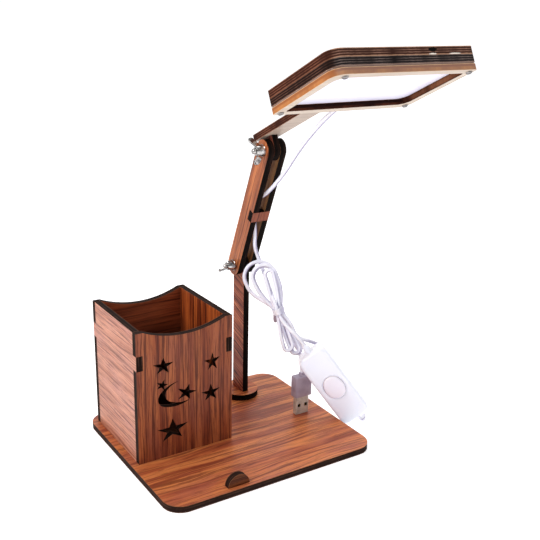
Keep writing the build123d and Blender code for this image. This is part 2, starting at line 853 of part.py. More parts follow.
core_top = button_base - button_travel - slip
with BuildPart() as switch_core:
    with BuildSketch(switch_level(-cavity_depth)):
        Rectangle(core_length, core_width)
    extrude(amount=core_top + cavity_depth)
switch_core.part.label = "switch_core"
export_step(switch_core.part, "parts/switch_core.step")


def strain_relief(outward, length):
    """A stub through the housing's end wall and a taper that the cord meets."""
    end = switch_plane.origin + outward * (switch_length / 2)
    with BuildPart() as relief:
        with BuildSketch(Plane(origin=end - outward * (switch_wall + relief_stub), z_dir=outward)):
            Circle(relief_tip_radius)
        extrude(amount=switch_wall + relief_stub)
        with BuildSketch(Plane(origin=end, z_dir=outward)) as foot:
            Circle(relief_radius)
        with BuildSketch(Plane(origin=end + outward * length, z_dir=outward)) as tip:
            Circle(relief_tip_radius)
        loft()
    return relief.part


top_relief = strain_relief(switch_plane.x_dir, top_relief_length)
top_relief.label = "switch_relief_top"
export_step(top_relief, "parts/switch_relief_top.step")
low_relief = strain_relief(switch_plane.x_dir * -1, low_relief_length)
low_relief.label = "switch_relief_low"
export_step(low_relief, "parts/switch_relief_low.step")
top_cord_end = switch_plane.origin + switch_plane.x_dir * (switch_length / 2 + top_relief_length)
low_cord_end = switch_plane.origin - switch_plane.x_dir * (switch_length / 2 + low_relief_length)

# USB plug: shell, insert and overmould
shell_top = board + shell_length
overmould_top = shell_top + overmould_length
plug_cord_end = Vector(plug_x, plug_y, overmould_top + plug_relief_length)

with BuildPart() as plug_shell:
    with BuildSketch(Plane.XY.offset(board)):
        with Locations((plug_x, plug_y)):
            Rectangle(shell_width, shell_thickness)
            Rectangle(shell_width - 2 * shell_wall, shell_thickness - 2 * shell_wall, mode=Mode.SUBTRACT)
    extrude(amount=shell_length)
    with BuildSketch(Plane.XZ.offset(-plug_y)):
        for side in (1, -1):
            with Locations((plug_x + side * shell_window_spread / 2, board + shell_window_up)):
                Rectangle(shell_window, shell_window)
    extrude(amount=shell_thickness, both=True, mode=Mode.SUBTRACT)
plug_shell.part.label = "plug_shell"
export_step(plug_shell.part, "parts/plug_shell.step")

with BuildPart() as plug_insert:
    insert_back = plug_y + shell_thickness / 2 - shell_wall
    with BuildSketch(Plane.XY.offset(board + shell_wall)):
        with Locations((plug_x, insert_back - insert_thickness / 2)):
            Rectangle(shell_width - 2 * shell_wall, insert_thickness)
    extrude(amount=shell_length - shell_wall)
plug_insert.part.label = "plug_insert"
export_step(plug_insert.part, "parts/plug_insert.step")

with BuildPart() as plug_overmould:
    with BuildSketch(Plane.XY.offset(shell_top)):
        with Locations((plug_x, plug_y)):
            RectangleRounded(overmould_width, overmould_thickness, overmould_edge)
    extrude(amount=overmould_length)
    fillet(plug_overmould.faces().sort_by(Axis.Z)[-1].edges(), overmould_round)
    with BuildSketch(Plane.XY.offset(overmould_top - overmould_edge)):
        with Locations((plug_x, plug_y)):
            Circle(plug_relief_radius)
    extrude(amount=plug_relief_length + overmould_edge)
plug_overmould.part.label = "plug_overmould"
export_step(plug_overmould.part, "parts/plug_overmould.step")

# Free cord: from the arm through the loops to the switch, from the switch to the hank, and to the plug
cord_lower = cord_tube([
    cord_meeting,
    on_arm(cord_meeting_height - 6.0, behind_cross),
    on_arm(cord_meeting_height - 17.3, 7.0),
    (40.4, 29.8, 139.5),
    in_hank(-41.0, 0.0, -10.3),
    in_hank(-29.5, 0.0, -5.5),
    in_hank(-18.5, 0.2, 1.2),
    in_hank(-9.0, 0.0, 7.9),
    in_hank(-1.0, 0.0, lamp_strand_front),
    in_hank(7.5, 0.2, lamp_strand_front + 0.2),
    in_hank(16.0, 3.2, 10.6),
    top_cord_end + switch_plane.x_dir * 9.0,
    top_cord_end,
])
cord_lower.label = "cord_lower"
export_step(cord_lower, "parts/cord_lower.step")

hank_path_start = hank_path @ 0
cord_from_switch = cord_tube([
    low_cord_end,
    low_cord_end - switch_plane.x_dir * 3.7,
    (107.5, -33.2, 1.7),
    (111.5, -29.0, 1.7),
    (113.0, -21.0, 1.8),
    (112.0, -11.5, 5.0),
    (108.5, -4.0, 15.0),
    (103.0, -1.0, 29.0),
    (96.5, -1.5, 43.5),
    (87.5, -3.2, 57.0),
    (67.8, -9.6, 69.0),
    hank_path_start + hank_plane.x_dir * 10.5,
    hank_path_start,
])
cord_from_switch.label = "cord_from_switch"
export_step(cord_from_switch, "parts/cord_from_switch.step")

hank_path_end = hank_path @ 1
cord_to_plug = cord_tube([
    hank_path_end,
    hank_path_end + hank_plane.x_dir * 8.0,
    (66.7, 5.6, 58.8),
    (66.6, -0.9, 52.4),
    plug_cord_end + Vector(0, 0, 5.6),
    plug_cord_end,
])
cord_to_plug.label = "cord_to_plug"
export_step(cord_to_plug, "parts/cord_to_plug.step")
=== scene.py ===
# Desk lamp with a pen box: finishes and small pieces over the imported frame, in metres.
from math import copysign, cos, dist, pi, radians, sin

import bmesh
import bpy
from mathutils import Matrix, Vector


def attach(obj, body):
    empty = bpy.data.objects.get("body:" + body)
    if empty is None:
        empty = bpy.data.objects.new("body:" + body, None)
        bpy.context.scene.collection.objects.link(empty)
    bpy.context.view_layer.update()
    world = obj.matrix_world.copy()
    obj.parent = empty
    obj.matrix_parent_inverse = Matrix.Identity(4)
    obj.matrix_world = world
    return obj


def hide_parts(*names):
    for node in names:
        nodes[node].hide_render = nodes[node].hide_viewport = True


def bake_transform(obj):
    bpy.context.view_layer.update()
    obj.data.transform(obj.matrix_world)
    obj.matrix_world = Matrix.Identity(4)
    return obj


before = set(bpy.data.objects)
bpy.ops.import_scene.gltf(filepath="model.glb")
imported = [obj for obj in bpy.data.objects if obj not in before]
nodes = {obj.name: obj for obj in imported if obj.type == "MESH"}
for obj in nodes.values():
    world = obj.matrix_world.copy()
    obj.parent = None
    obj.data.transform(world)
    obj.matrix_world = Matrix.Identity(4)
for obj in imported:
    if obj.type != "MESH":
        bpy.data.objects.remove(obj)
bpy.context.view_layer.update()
print("frame loaded:", len(nodes), "nodes")

mm = 0.001
white, black = (1, 1, 1, 1), (0, 0, 0, 1)
sharp = radians(35)  # edges steeper than this stay sharp


# directions and places shared with the frame
def place(origin, xAxis, zAxis):
    # a matrix from a piece's own millimetres to the frame, with its x made square to its z
    z = Vector(zAxis).normalized()
    x = Vector(xAxis)
    x = (x - z * x.dot(z)).normalized()
    turn = Matrix((x, z.cross(x), z)).transposed().to_4x4()
    return Matrix.Translation(Vector(origin) * mm) @ turn @ Matrix.Scale(mm, 4)


def placed(where, points):
    return [where @ Vector(point) for point in points]


def pick(table, keys):
    return [table[key] for key in keys.split()]


lean, pitch = radians(22.7), radians(25.2)
armAlong, armFront = Vector((0, -sin(lean), cos(lean))), Vector((0, -cos(lean), -sin(lean)))
headAlong, headUp = Vector((0, -cos(pitch), sin(pitch))), Vector((0, sin(pitch), cos(pitch)))
lowerHinge = Vector((41.0, 50.0, 120.0))
upperHinge = lowerHinge + armAlong * 106.5

headPlace = place(upperHinge, headAlong, headUp)  # x to its front, y right, z up
hankPlace = place((50, 9, 92.5), (20, -25, -72), (-0.5393, -0.8306, 0.1386))
switchPlace = place((82.4, -23.5, 34.3), (-0.53, 0.25, 0.81), (-0.45, -0.88, -0.0229))
plugPlace = place((65.4, -4.4, 5.0), (1, 0, 0), (0, 0, 1))


def colour(code):
    # a hexadecimal screen colour as linear light
    parts = [int(code[i:i + 2], 16) / 255 for i in (0, 2, 4)]
    return tuple(c / 12.92 if c <= 0.04045 else ((c + 0.055) / 1.055) ** 2.4 for c in parts) + (1.0,)


def socketKind(value):
    # the kind of socket that suits a starting value, or the kind's own name
    if isinstance(value, str):
        return "NodeSocket" + value
    if isinstance(value, tuple):
        return "NodeSocketVector" if len(value) == 3 else "NodeSocketColor"
    return "NodeSocketInt" if isinstance(value, int) else "NodeSocketFloat"


class Graph:
    # short ways to add nodes to a tree; inputs are numbers, colour codes or other nodes' sockets
    def __init__(self, tree):
        self.tree = tree

    def feed(self, socket, value):
        if isinstance(value, bpy.types.NodeSocket):
            self.tree.links.new(value, socket)
        else:
            socket.default_value = colour(value) if isinstance(value, str) else value

    def fill(self, sockets, values):
        for key, value in values.items():
            self.feed(sockets[key], value)

    def put(self, kind, inputs=None, **settings):
        node = self.tree.nodes.new(kind)
        for key, value in settings.items():
            setattr(node, key, value)
        self.fill(node.inputs, inputs or {})
        return node.outputs

    def use(self, group, **inputs):
        return self.put("ShaderNodeGroup", inputs, node_tree=group.tree)

    def sums(self, operation, a, b=0.0, clamp=False):
        return self.put("ShaderNodeMath", {0: a, 1: b}, operation=operation, use_clamp=clamp)[0]

    def times(self, a, b, clamp=False):
        return self.sums("MULTIPLY", a, b, clamp)

    def plus(self, a, b):
        return self.sums("ADD", a, b)

    def minus(self, a, b):
        return self.sums("SUBTRACT", a, b)

    def larger(self, a, b):
        return self.sums("MAXIMUM", a, b)

    def size(self, a):
        return self.sums("ABSOLUTE", a)

    def vectors(self, operation, a, b=(0, 0, 0)):
        return self.put("ShaderNodeVectorMath", {0: a, 1: b}, operation=operation)[0]

    def dot(self, a, b):
        return self.put("ShaderNodeVectorMath", {0: a, 1: b}, operation="DOT_PRODUCT")["Value"]

    def parts(self, vector):
        return self.put("ShaderNodeSeparateXYZ", {0: vector})

    def vector(self, **parts):
        return self.put("ShaderNodeCombineXYZ", {key.upper(): value for key, value in parts.items()})[0]

    def mix(self, share, a, b):
        return self.put("ShaderNodeMix", {0: share, 6: a, 7: b}, data_type="RGBA")[2]

    def blend(self, share, a, b):
        return self.put("ShaderNodeMix", {0: share, 2: a, 3: b})[0]

    def cloud(self, vector, scale, detail=2.0, rough=0.5, warp=0.0):
        if isinstance(scale, tuple):
            vector, scale = self.vectors("MULTIPLY", vector, scale), 1.0
        return self.put("ShaderNodeTexNoise", {
            "Vector": vector, "Scale": scale, "Detail": detail, "Roughness": rough, "Distortion": warp,
        })["Fac"]

    def between(self, value, low, high):
        # 0 at low, 1 at high, eased
        ends = {"Value": value, "From Min": low, "From Max": high}
        return self.put("ShaderNodeMapRange", ends, interpolation_type="SMOOTHSTEP")[0]

    def bump(self, height, strength, distance):
        return self.put("ShaderNodeBump", {"Height": height, "Strength": strength, "Distance": distance})[0]

    def leave(self, **outputs):
        for label, socket in outputs.items():
            kind = {"VALUE": "Float", "RGBA": "Color", "VECTOR": "Vector", "GEOMETRY": "Geometry"}[socket.type]
            self.tree.interface.new_socket(label, in_out="OUTPUT", socket_type="NodeSocket" + kind)
        self.fill(self.tree.nodes.new("NodeGroupOutput").inputs, outputs)


def newGroup(name, kind, **inputs):
    # a node group and the sockets of its inputs, which are given by their starting values or kinds
    tree = bpy.data.node_groups.new(name, kind + "NodeTree")
    for label, value in inputs.items():
        socket = tree.interface.new_socket(label, in_out="INPUT", socket_type=socketKind(value))
        if not isinstance(value, str):
            socket.default_value = value
    return Graph(tree), tree.nodes.new("NodeGroupInput").outputs


# a board's own directions: x along the grain, z out of its front face, in millimetres
def makeBoardSpace():
    g, entry = newGroup("boardSpace", "Shader", position=(0, 0, 0), normal=(0, 0, 1), origin=(0, 0, 0), grain=(1, 0, 0),
                        out=(0, 0, 1))
    offset = g.vectors("SUBTRACT", entry["position"], entry["origin"])
    offset = g.vectors("MULTIPLY", offset, (1 / mm, 1 / mm, 1 / mm))
    across = g.vectors("CROSS_PRODUCT", entry["out"], entry["grain"])
    local = g.vector(x=g.dot(offset, entry["grain"]), y=g.dot(offset, across), z=g.dot(offset, entry["out"]))
    g.leave(local=local, side=g.dot(entry["normal"], entry["out"]))
    return g


# veneer: each cloud's stretch along, across and through the board, its detail, roughness and warp
veneerClouds = dict(
    broad=((0.007, 0.12, 0.05), 3.0, 0.6, 0.2), streak=((0.013, 0.5, 0.3), 2.0, 0.7),
    thin=((0.022, 0.95, 0.5), 2.0, 0.6), pale=((0.016, 0.75, 0.4), 2.0, 0.6), pore=((0.10, 1.35, 1.2), 2.0, 0.6),
)


# a stained veneer: broad figure, dark and light lines along the grain, short pores and a cooler blush in patches,
# partly the veneer's own hue and partly painted sheen
def makeVeneer():
    g, entry = newGroup("veneer", "Shader", vector=(0, 0, 0), light=white, mid=white, dark=black, blush=white,
                        figure=1.0, streaks=1.0, pores=1.0, width=1.0, flow=4.0)
    spread = g.vectors("MULTIPLY", entry["vector"], entry["width"])
    wave = g.cloud(spread, (0.012, 0.05, 0.02))
    bent = g.vectors("ADD", spread, g.vector(y=g.times(g.minus(wave, 0.5), entry["flow"])))
    clouds = {name: g.cloud(bent, *form) for name, form in veneerClouds.items()}

    def marks(name, low, high, strength):
        return g.times(g.between(clouds[name], low, high), entry[strength], True)

    patch = g.between(g.cloud(spread, (0.02, 0.05, 0.05), 3.0, 0.6), 0.45, 0.68)
    tone = g.mix(g.between(clouds["broad"], 0.36, 0.64), entry["light"], entry["mid"])
    tone = g.mix(g.times(patch, 0.55), tone, entry["blush"])
    bands, lines = marks("broad", 0.52, 0.70, "figure"), marks("streak", 0.50, 0.62, "streaks")
    hairs, pits = marks("thin", 0.52, 0.66, "streaks"), marks("pore", 0.55, 0.66, "pores")
    dark = g.larger(g.times(bands, 0.8), g.larger(lines, g.times(hairs, 0.7)))
    tone = g.mix(dark, tone, entry["dark"])
    tone = g.mix(g.times(marks("pale", 0.54, 0.70, "streaks"), 0.7), tone, entry["light"])
    tone = g.mix(g.times(pits, 0.5), tone, entry["dark"])
    g.leave(color=tone, height=g.minus(1.0, g.plus(g.times(pits, 0.6), g.times(dark, 0.3))))
    return g


# a laser-cut edge: scorched plies with paler lines next to the faces, which are painted highlights along the arrises
def makeBurntEdge():
    g, entry = newGroup("burntEdge", "Shader", vector=(0, 0, 0), thickness=5.0, dark=black, brown=black, line=white,
                        plies=3.0, lines=1.0)
    ragged = g.cloud(entry["vector"], (0.35, 0.35, 0.35), 3.0)
    scorch = g.cloud(entry["vector"], (0.06, 0.06, 0.02), 3.0, 0.6)
    laser = g.cloud(entry["vector"], (2.6, 2.6, 0.12), 1.0)
    depth = g.plus(g.sums("DIVIDE", g.parts(entry["vector"])[2], entry["thickness"]), 0.5)
    depth = g.plus(depth, g.times(g.minus(ragged, 0.5), 0.10))
    ply = g.between(g.sums("SINE", g.times(depth, g.times(entry["plies"], 2 * pi))), -0.2, 0.9)
    tone = g.mix(g.times(ply, g.between(scorch, 0.30, 0.70)), entry["dark"], entry["brown"])
    tone = g.mix(g.times(g.between(laser, 0.45, 0.75), 0.35), tone, entry["dark"])
    # painted highlight: a paler line along each arris, next to the faces
    rim = g.times(g.between(g.size(g.minus(depth, 0.5)), 0.40, 0.47), entry["lines"], True)
    g.leave(color=g.mix(rim, tone, entry["line"]), height=g.plus(g.times(laser, 0.6), g.times(ply, 0.4)))
    return g


boardSpace, veneer, burntEdge = makeBoardSpace(), makeVeneer(), makeBurntEdge()


def newMaterial(name):
    material = bpy.data.materials.new(name)
    material.use_nodes = True
    tree = material.node_tree
    tree.nodes.clear()
    shader = tree.nodes.new("ShaderNodeBsdfPrincipled")
    tree.links.new(shader.outputs[0], tree.nodes.new("ShaderNodeOutputMaterial").inputs[0])
    return material, Graph(tree), shader.inputs, tree.nodes.new("ShaderNodeTexCoord").outputs


# faces: colours of the veneer's light, middle and dark lines and blush (partly the veneer's own hue, partly painted
# sheen), then how strong figure, streaks and pores are
def wood(tones, figure, streaks, pores, width, **more):
    light, mid, dark, blush = tones.split()
    return dict(light=light, mid=mid, dark=dark, blush=blush, figure=figure, streaks=streaks, pores=pores,
                width=width, **more)


faces = {
    "base": wood("dc8449 b65a35 5e2214 a4584a", 0.7, 0.7, 0.9, 0.95, flow=11.0),
    "boxFront": wood("b2633a 8a4126 451810 904f3e", 0.45, 0.8, 0.9, 1.1),
    # the box's left side: the same wood painted lighter and pinker, as a painted sheen from the lamp
    "boxLeft": wood("cf8f74 b47056 6e372a b77c70", 0.4, 0.85, 0.7, 1.35),
    "insideRight": wood("cc672f 9f4620 521d0c 984423", 0.6, 1.0, 0.6, 0.9),
    "insideBack": wood("b45e38 8c4326 3a150c 7b3c2a", 0.6, 0.7, 0.4, 1.0),
    "arm": wood("d07c46 ae5d32 642a14 9f5832", 0.7, 1.0, 0.5, 0.9),
    "post": wood("cb7a52 94452e 3a140d 854537", 0.4, 1.0, 0.3, 1.5),
    "cross": wood("9e5438 7f3f2a 3f1a12 743f33", 0.4, 0.8, 0.3, 1.2),
    "stop": wood("7c4626 5c2e1a 26100a 56301f", 0.6, 0.8, 0.5, 1.2),
    "head": wood("a0603f 84462e 41190f 7f4a3a", 0.6, 0.7, 0.5, 1.0),
    "bare": wood("d2c3b2 c7b5a3 a8927e c5b6a8", 0.3, 0.35, 0.3, 1.0),
    "bareGrey": wood("bdaa99 b29d8c 967f6e b3a296", 0.3, 0.5, 0.3, 1.0),
    "bareTan": wood("ac7d52 976942 6a462b 8b6546", 0.4, 0.6, 0.3, 1.0),
}
# painted shade deep inside the box: its inner walls darken towards the floor
dims = {"insideRight": (0.050, 0.088, 0.16), "insideBack": (0.050, 0.092, 0.14)}  # dark up to, light from, least light
# the colour of painted shadow, inside the box and on the base under it
paintedShadow = (0.004, 0.002, 0.001, 1)

# edges: colours of the scorch, the brown between burns and the lines beside the faces (painted highlights along the
# arrises), then plies and lines' strength
def burn(tones, plies, lines):
    dark, brown, line = tones.split()
    return dict(dark=dark, brown=brown, line=line, plies=plies, lines=lines)


edges = {
    "base": burn("281914 4b332a 8d6044", 2.0, 0.8),
    "box": burn("1d120e 463029 6e4c3b", 2.0, 0.6),
    "arm": burn("0e0907 231510 3d271e", 1.0, 0.3),
    # head edges: front and rear tones lightened as painted sheen, and the sides' tones darker as painted shade
    "headTop": burn("40271f ab7f6c cf9f7c", 3.5, 0.9),
    "headTopSide": burn("361b13 87523d 8f5f46", 3.5, 0.6),
    "headRing": burn("211d1d 85736d 9b7b6c", 3.5, 0.5),
    "headRingSide": burn("1b100d 6d4638 74503f", 3.5, 0.5),
    "headFrame": burn("9b7260 c18d66 dfb58c", 0.75, 1.0),
    "headFrameSide": burn("9c5f3a c6854f dcab7a", 0.75, 0.8),
    # the window's inner walls: painted shade, with lighter side walls as a painted highlight
    "headWindow": burn("1d0a07 4c2618 7b4a31", 1.0, 0.8),
    "headWindowSide": burn("381b11 86553a 4a2a1c", 0.5, 0.8),
    "headSheet": burn("7b5c50 ad8a78 c4a08c", 1.5, 0.6),
}

# what all boards share: thickness, roughness and shine on faces and on edges, and how strong and deep the grain is
boardSkin = dict(thick=5, faceRough=0.42, edgeRough=0.75, faceShine=0.22, edgeShine=0.05, grain=(0.3, 0.0002))

# boards: a point in mm, outward direction, grain, faces and edge
x, y, z = Vector((1, 0, 0)), Vector((0, 1, 0)), Vector((0, 0, 1))
headMiddle = upperHinge + headAlong * 124.0
boards = {
    "base_plate": dict(at=(0, 0, 2.5), out=z, grain=x, front="base", edge="base", shine=0.3,
                       # painted shadow on the rectangle of the base that the box covers
                       boxShadow=((-41, 27), (33, 34))),
    "box_front_panel": dict(at=(-41, -9.5, 55), out=-y, grain=z, front="boxFront", back="insideBack", edge="box"),
    "box_back_panel": dict(at=(-41, 63.5, 55), out=-y, grain=x, front="insideBack", back="boxFront", edge="box"),
    "box_left_panel": dict(at=(-77, 27, 55), out=-x, grain=y, front="boxLeft", back="insideBack", edge="box"),
    "box_right_panel": dict(at=(-6, 27, 55), out=-x, grain=z, front="insideRight", back="boxLeft", edge="box"),
    "phone_stop": dict(at=(-32, -69, 9), out=-y, grain=x, front="stop", edge="base", shine=0.08),
    "post_collar": dict(at=(41, 50, 7.5), out=z, grain=x, front="base", edge="arm"),
    "post_board": dict(at=(41, 50, 60), out=-x, grain=(y + z * 0.35).normalized(), front="post", edge="arm", shine=0.1),
    "cheek_left": dict(at=(35.8, 29, 169), out=-x, grain=armAlong, front="arm", back="bareTan", edge="arm"),
    "cheek_right": dict(at=(46.2, 29, 169), out=-x, grain=armAlong, front="bareTan", back="arm", edge="arm"),
    "arm_crosspiece": dict(at=lowerHinge + armAlong * 51.8 + armFront * 5.5, out=armFront, grain=armAlong,
                           front="cross", edge="arm"),
    "hinge_tongue": dict(at=upperHinge, out=-x, grain=headUp, front="cross", edge="arm"),
    "head_top_board": dict(at=headMiddle + headUp * 11.5, out=headUp, grain=x, front="head", back="bareGrey",
                           edge="headTop", sides="headTopSide",
                           # marks: a burn mark, then two pale painted glints of light along the seam below the top
                           # board
                           marks=[(20.5, 0.6, 3.4, 1.5, "0f0c0b"), (20.0, -2.2, 2.8, 0.6, "fff4e6"),
                                  (37.5, -2.2, 4.6, 0.6, "fff1e2")]),
    "head_spacer_ring": dict(at=headMiddle + headUp * 6.5, out=headUp, grain=x, front="head", back="bare",
                             edge="headRing", sides="headRingSide"),
    "head_window_frame": dict(at=headMiddle + headUp * 1.0, out=headUp, grain=x, front="head", back="bare", thick=4,
                              edge="headFrame", sides="headFrameSide", within=((0, 0), (50.2, 31.2)),
                              inner="headWindow"),
}


def spaceOf(g, coords, look):
    return g.use(boardSpace, position=coords["Object"], normal=coords["Normal"], origin=Vector(look["at"]) * mm,
                 grain=look["grain"], out=look["out"])


def edgeOf(g, space, style, thick):
    return g.use(burntEdge, vector=space["local"], thickness=float(thick), **edges[style])


def boardMaterial(name, look):
    material, g, shader, coords = newMaterial(name + "Wood")
    space, thick = spaceOf(g, coords, look), look.get("thick", boardSkin["thick"])
    along, across, _ = g.parts(space["local"])

    def face(style, shift):
        skin = g.use(veneer, vector=g.vectors("ADD", space["local"], shift), **faces[style])
        if style not in dims:
            return skin["color"], skin["height"]
        # painted shade deep inside the box, darker towards its floor
        low, high, least = dims[style]
        lit = g.between(g.parts(coords["Object"])[2], low, high)
        return g.mix(lit, g.mix(1 - least, skin["color"], paintedShadow), skin["color"]), skin["height"]

    def reach(middle, half):
        # how far out in a rectangle of the board's plane: 1 on its sides
        return g.larger(*(g.sums("DIVIDE", g.size(g.minus(part, centre)), far)
                          for part, centre, far in zip((along, across), middle, half)))

    seed = float(sum(ord(letter) for letter in name) % 97) * 11
    front, back = face(look["front"], (seed, seed, 0)), face(look.get("back", look["front"]), (-seed, seed * 2, 40))
    edge = edgeOf(g, space, look["edge"], thick)
    cut = edge["color"]
    if "sides" in look:
        # left and right sides painted darker than front and rear, as painted shade
        sideways = g.between(g.size(g.dot(coords["Normal"], x)), 0.5, 0.9)
        cut = g.mix(sideways, cut, edgeOf(g, space, look["sides"], thick)["color"])
    for markAlong, deep, wide, tall, tone in look.get("marks", []):
        # a burn mark on the front edge, and painted glints of light along the seam between boards
        spot = g.vectors("SUBTRACT", space["local"], (markAlong, 0, deep))
        spot = g.vectors("MULTIPLY", spot, (1 / wide, 0, 1 / tall))
        spot = g.put("ShaderNodeVectorMath", {0: spot}, operation="LENGTH")["Value"]
        spot = g.between(g.plus(spot, g.times(g.cloud(space["local"], 0.9, 3.0), 0.9)), 1.6, 1.2)
        cut = g.mix(g.times(spot, g.sums("LESS_THAN", across, 0.0)), cut, tone)
    if "inner" in look:
        # walls of the window painted darker than the outside, as painted shade in the recess, with its left and right
        # walls lighter brown as a painted highlight
        inner, innerSide = (edgeOf(g, space, look["inner"] + end, thick)["color"] for end in ("", "Side"))
        inside = g.sums("LESS_THAN", reach(*look["within"]), 1.0)
        cut = g.mix(inside, cut, g.mix(sideways, inner, innerSide))
    isFront, isBack = g.sums("GREATER_THAN", space["side"], 0.7), g.sums("LESS_THAN", space["side"], -0.7)
    isFace = g.plus(isFront, isBack)
    tone = g.mix(isBack, g.mix(isFront, cut, front[0]), back[0])
    height = g.blend(isBack, g.blend(isFront, edge["height"], front[1]), back[1])
    if "boxShadow" in look:
        # painted shadow on the base's part that closes the box
        tone = g.mix(g.times(g.between(reach(*look["boxShadow"]), 1.05, 0.95), 0.85), tone, paintedShadow)
    edgeRough, faceRough, edgeShine, faceShine = pick(boardSkin, "edgeRough faceRough edgeShine faceShine")
    g.fill(shader, {
        "Base Color": tone, "Roughness": g.blend(isFace, edgeRough, faceRough),
        "Specular IOR Level": g.blend(isFace, edgeShine, look.get("shine", faceShine)),
        "Normal": g.bump(height, *boardSkin["grain"]),
    })
    return material


def dress(node, material):
    nodes[node].data.materials.clear()
    nodes[node].data.materials.append(material)


for name, look in boards.items():
    dress(name, boardMaterial(name, look))
print("boards finished:", len(boards))


# moulded plastic: a faint mottle in its colour and a fine grain on its surface
def makeMoulded():
    g, entry = newGroup("moulded", "Shader", vector=(0, 0, 0), light=white, shade=white, mottle=160.0, rough=0.3)
    mottle = g.cloud(entry["vector"], entry["mottle"], 3.0)
    g.leave(color=g.mix(g.between(mottle, 0.35, 0.7), entry["light"], entry["shade"]),
            roughness=g.plus(entry["rough"], g.times(g.minus(mottle, 0.5), 0.12)),
            height=g.cloud(entry["vector"], 2600.0))
    return g


# plated metal: brushed along one way, with darker patches that are partly dull plating and partly painted reflections
def makeBrushed():
    g, entry = newGroup("brushed", "Shader", vector=(0, 0, 0), light=white, shade=white, brush=(1000, 1000, 1000),
                        rough=0.3)
    brush = g.cloud(g.vectors("MULTIPLY", entry["vector"], entry["brush"]), 1.0, 3.0, 0.6)
    patch = g.between(g.cloud(entry["vector"], 220.0, 3.0), 0.35, 0.75)
    g.leave(color=g.mix(patch, entry["light"], entry["shade"]), height=brush,
            roughness=g.plus(entry["rough"], g.times(g.minus(brush, 0.5), 0.22)))
    return g


moulded, brushed = makeMoulded(), makeBrushed()
fineGrain = dict(plastic=(0.12, 0.00006), metal=(0.15, 0.00005))  # strength, and depth in metres
awayFromLamps = (0.70, -0.46, -0.55)


def skinOf(g, group, coords, look, *keys):
    own = {key: look[key] for key in ("light", "shade", "rough", *keys) if key in look}
    return g.use(group, vector=coords["Object"], **own)


def plasticMaterial(name, look):
    material, g, shader, coords = newMaterial(name)
    skin = skinOf(g, moulded, coords, look, "mottle")
    tone = skin["color"]
    if "rim" in look:
        # shaded where the surface turns away and on the side away from the lamps
        facing = g.between(g.put("ShaderNodeLayerWeight", {"Blend": 0.5})["Facing"], *look["rimAt"])
        lee = g.between(g.dot(coords["Normal"], awayFromLamps), 0.05, 0.85)
        tone = g.mix(g.larger(g.times(facing, 0.35), lee), tone, look["rim"])
    if "cut" in look:
        # painted light: the sheet glows faintly, standing in for light from the floor below, with dull cut edges
        space = spaceOf(g, coords, look)
        isCut = g.sums("LESS_THAN", g.size(space["side"]), 0.5)
        g.feed(shader["Emission Color"], g.mix(isCut, look["light"], black))
        tone = g.mix(isCut, tone, edgeOf(g, space, look["cut"], 1.0)["color"])
    elif "glow" in look:
        # painted highlight: an emitted glow, brightest where the surface faces the given direction, standing in for
        # overexposed lamp light
        lit = g.between(g.dot(coords["Normal"], look["out"]), 0.3, 0.9)
        g.feed(shader["Emission Color"], g.mix(lit, black, look["glowTone"]))
    g.fill(shader, {
        "Base Color": tone, "Roughness": skin["roughness"], "Normal": g.bump(skin["height"], *fineGrain["plastic"]),
        "Coat Weight": look.get("coat", 0.0), "Emission Strength": look.get("glow", 0.0),
    })
    return material


def metalMaterial(name, look):
    material, g, shader, coords = newMaterial(name)
    look = dict(rim=look["shade"], rimAt=(0.4, 1.0)) | look
    skin = skinOf(g, brushed, coords, look, "brush")
    # painted reflection: darker towards the silhouette, where dark surroundings would be reflected
    facing = g.between(g.put("ShaderNodeLayerWeight", {"Blend": 0.5})["Facing"], *look["rimAt"])
    g.fill(shader, {
        "Base Color": g.mix(facing, skin["color"], look["rim"]), "Roughness": skin["roughness"],
        "Normal": g.bump(skin["height"], *fineGrain["metal"]), "Metallic": look.get("metallic", 1.0),
    })
    return material


switchOut = Vector(switchPlace.col[2][:3]).normalized()
plastics = {
    # glow and glowTone paint a highlight as emitted light, brightest towards out
    "cordWhite": dict(light="fcfaff", shade="f6f3fd", rough=0.34, rim="857aa6", rimAt=(0.3, 0.85), glow=0.12,
                      glowTone="b4ccff", out=(-0.69, -0.36, 0.62)),
    # the tie's tail, painted darker as painted shadow under the band
    "tailShade": dict(light="b3a2ae", shade="8f7d88", rough=0.5),
    "tieWhite": dict(light="fbfaff", shade="f2effa", rough=0.5, rim="9388b2", rimAt=(0.3, 0.9)),
    "switchWhite": dict(light="fdfcff", shade="fbfaff", rough=0.26, coat=0.2, mottle=60.0, glow=0.14, glowTone="8cb8ff",
                        out=switchOut),
    "buttonWhite": dict(light="fff8fb", shade="fcf4fa", rough=0.24, coat=0.2, mottle=60.0, glow=0.12, glowTone="90b4ff",
                        out=switchOut),
    # the grip's white plastic painted lavender grey, as painted shade
    "plugWhiteShaded": dict(light="b1a6b8", shade="a196aa", rough=0.42),
    "insertBlack": dict(light="1d1a19", shade="141211", rough=0.45),
    # the sheet's glow is painted light from below
    "opalSheet": dict(light="eeedfb", shade="e4e2f8", rough=0.3, mottle=38.0, glow=0.17, cut="headSheet",
                      at=headMiddle + headUp * 3.5, grain=x, out=headUp),
    "lightBoard": dict(light="f1f0ea", shade="e4e2d9", rough=0.5),
    "lightChip": dict(light="f2dd8a", shade="e8cf6e", rough=0.3),
}
metals = {
    "nickel": dict(light="d6d4d2", shade="94918f", rough=0.2, brush=(900, 4000, 4000), rim="272524", rimAt=(0.3, 0.8)),
    "screwSteel": dict(light="9d9997", shade="5e5b59", rough=0.3, brush=(900, 900, 900), rim="2e2c2b"),
    "shellMetal": dict(light="d6d6cc", shade="b3b0a6", rough=0.4, brush=(700, 700, 9000), metallic=0.3),
    "contactGold": dict(light="e8c66a", shade="cfa84c", rough=0.25, brush=(900, 900, 900)),
}
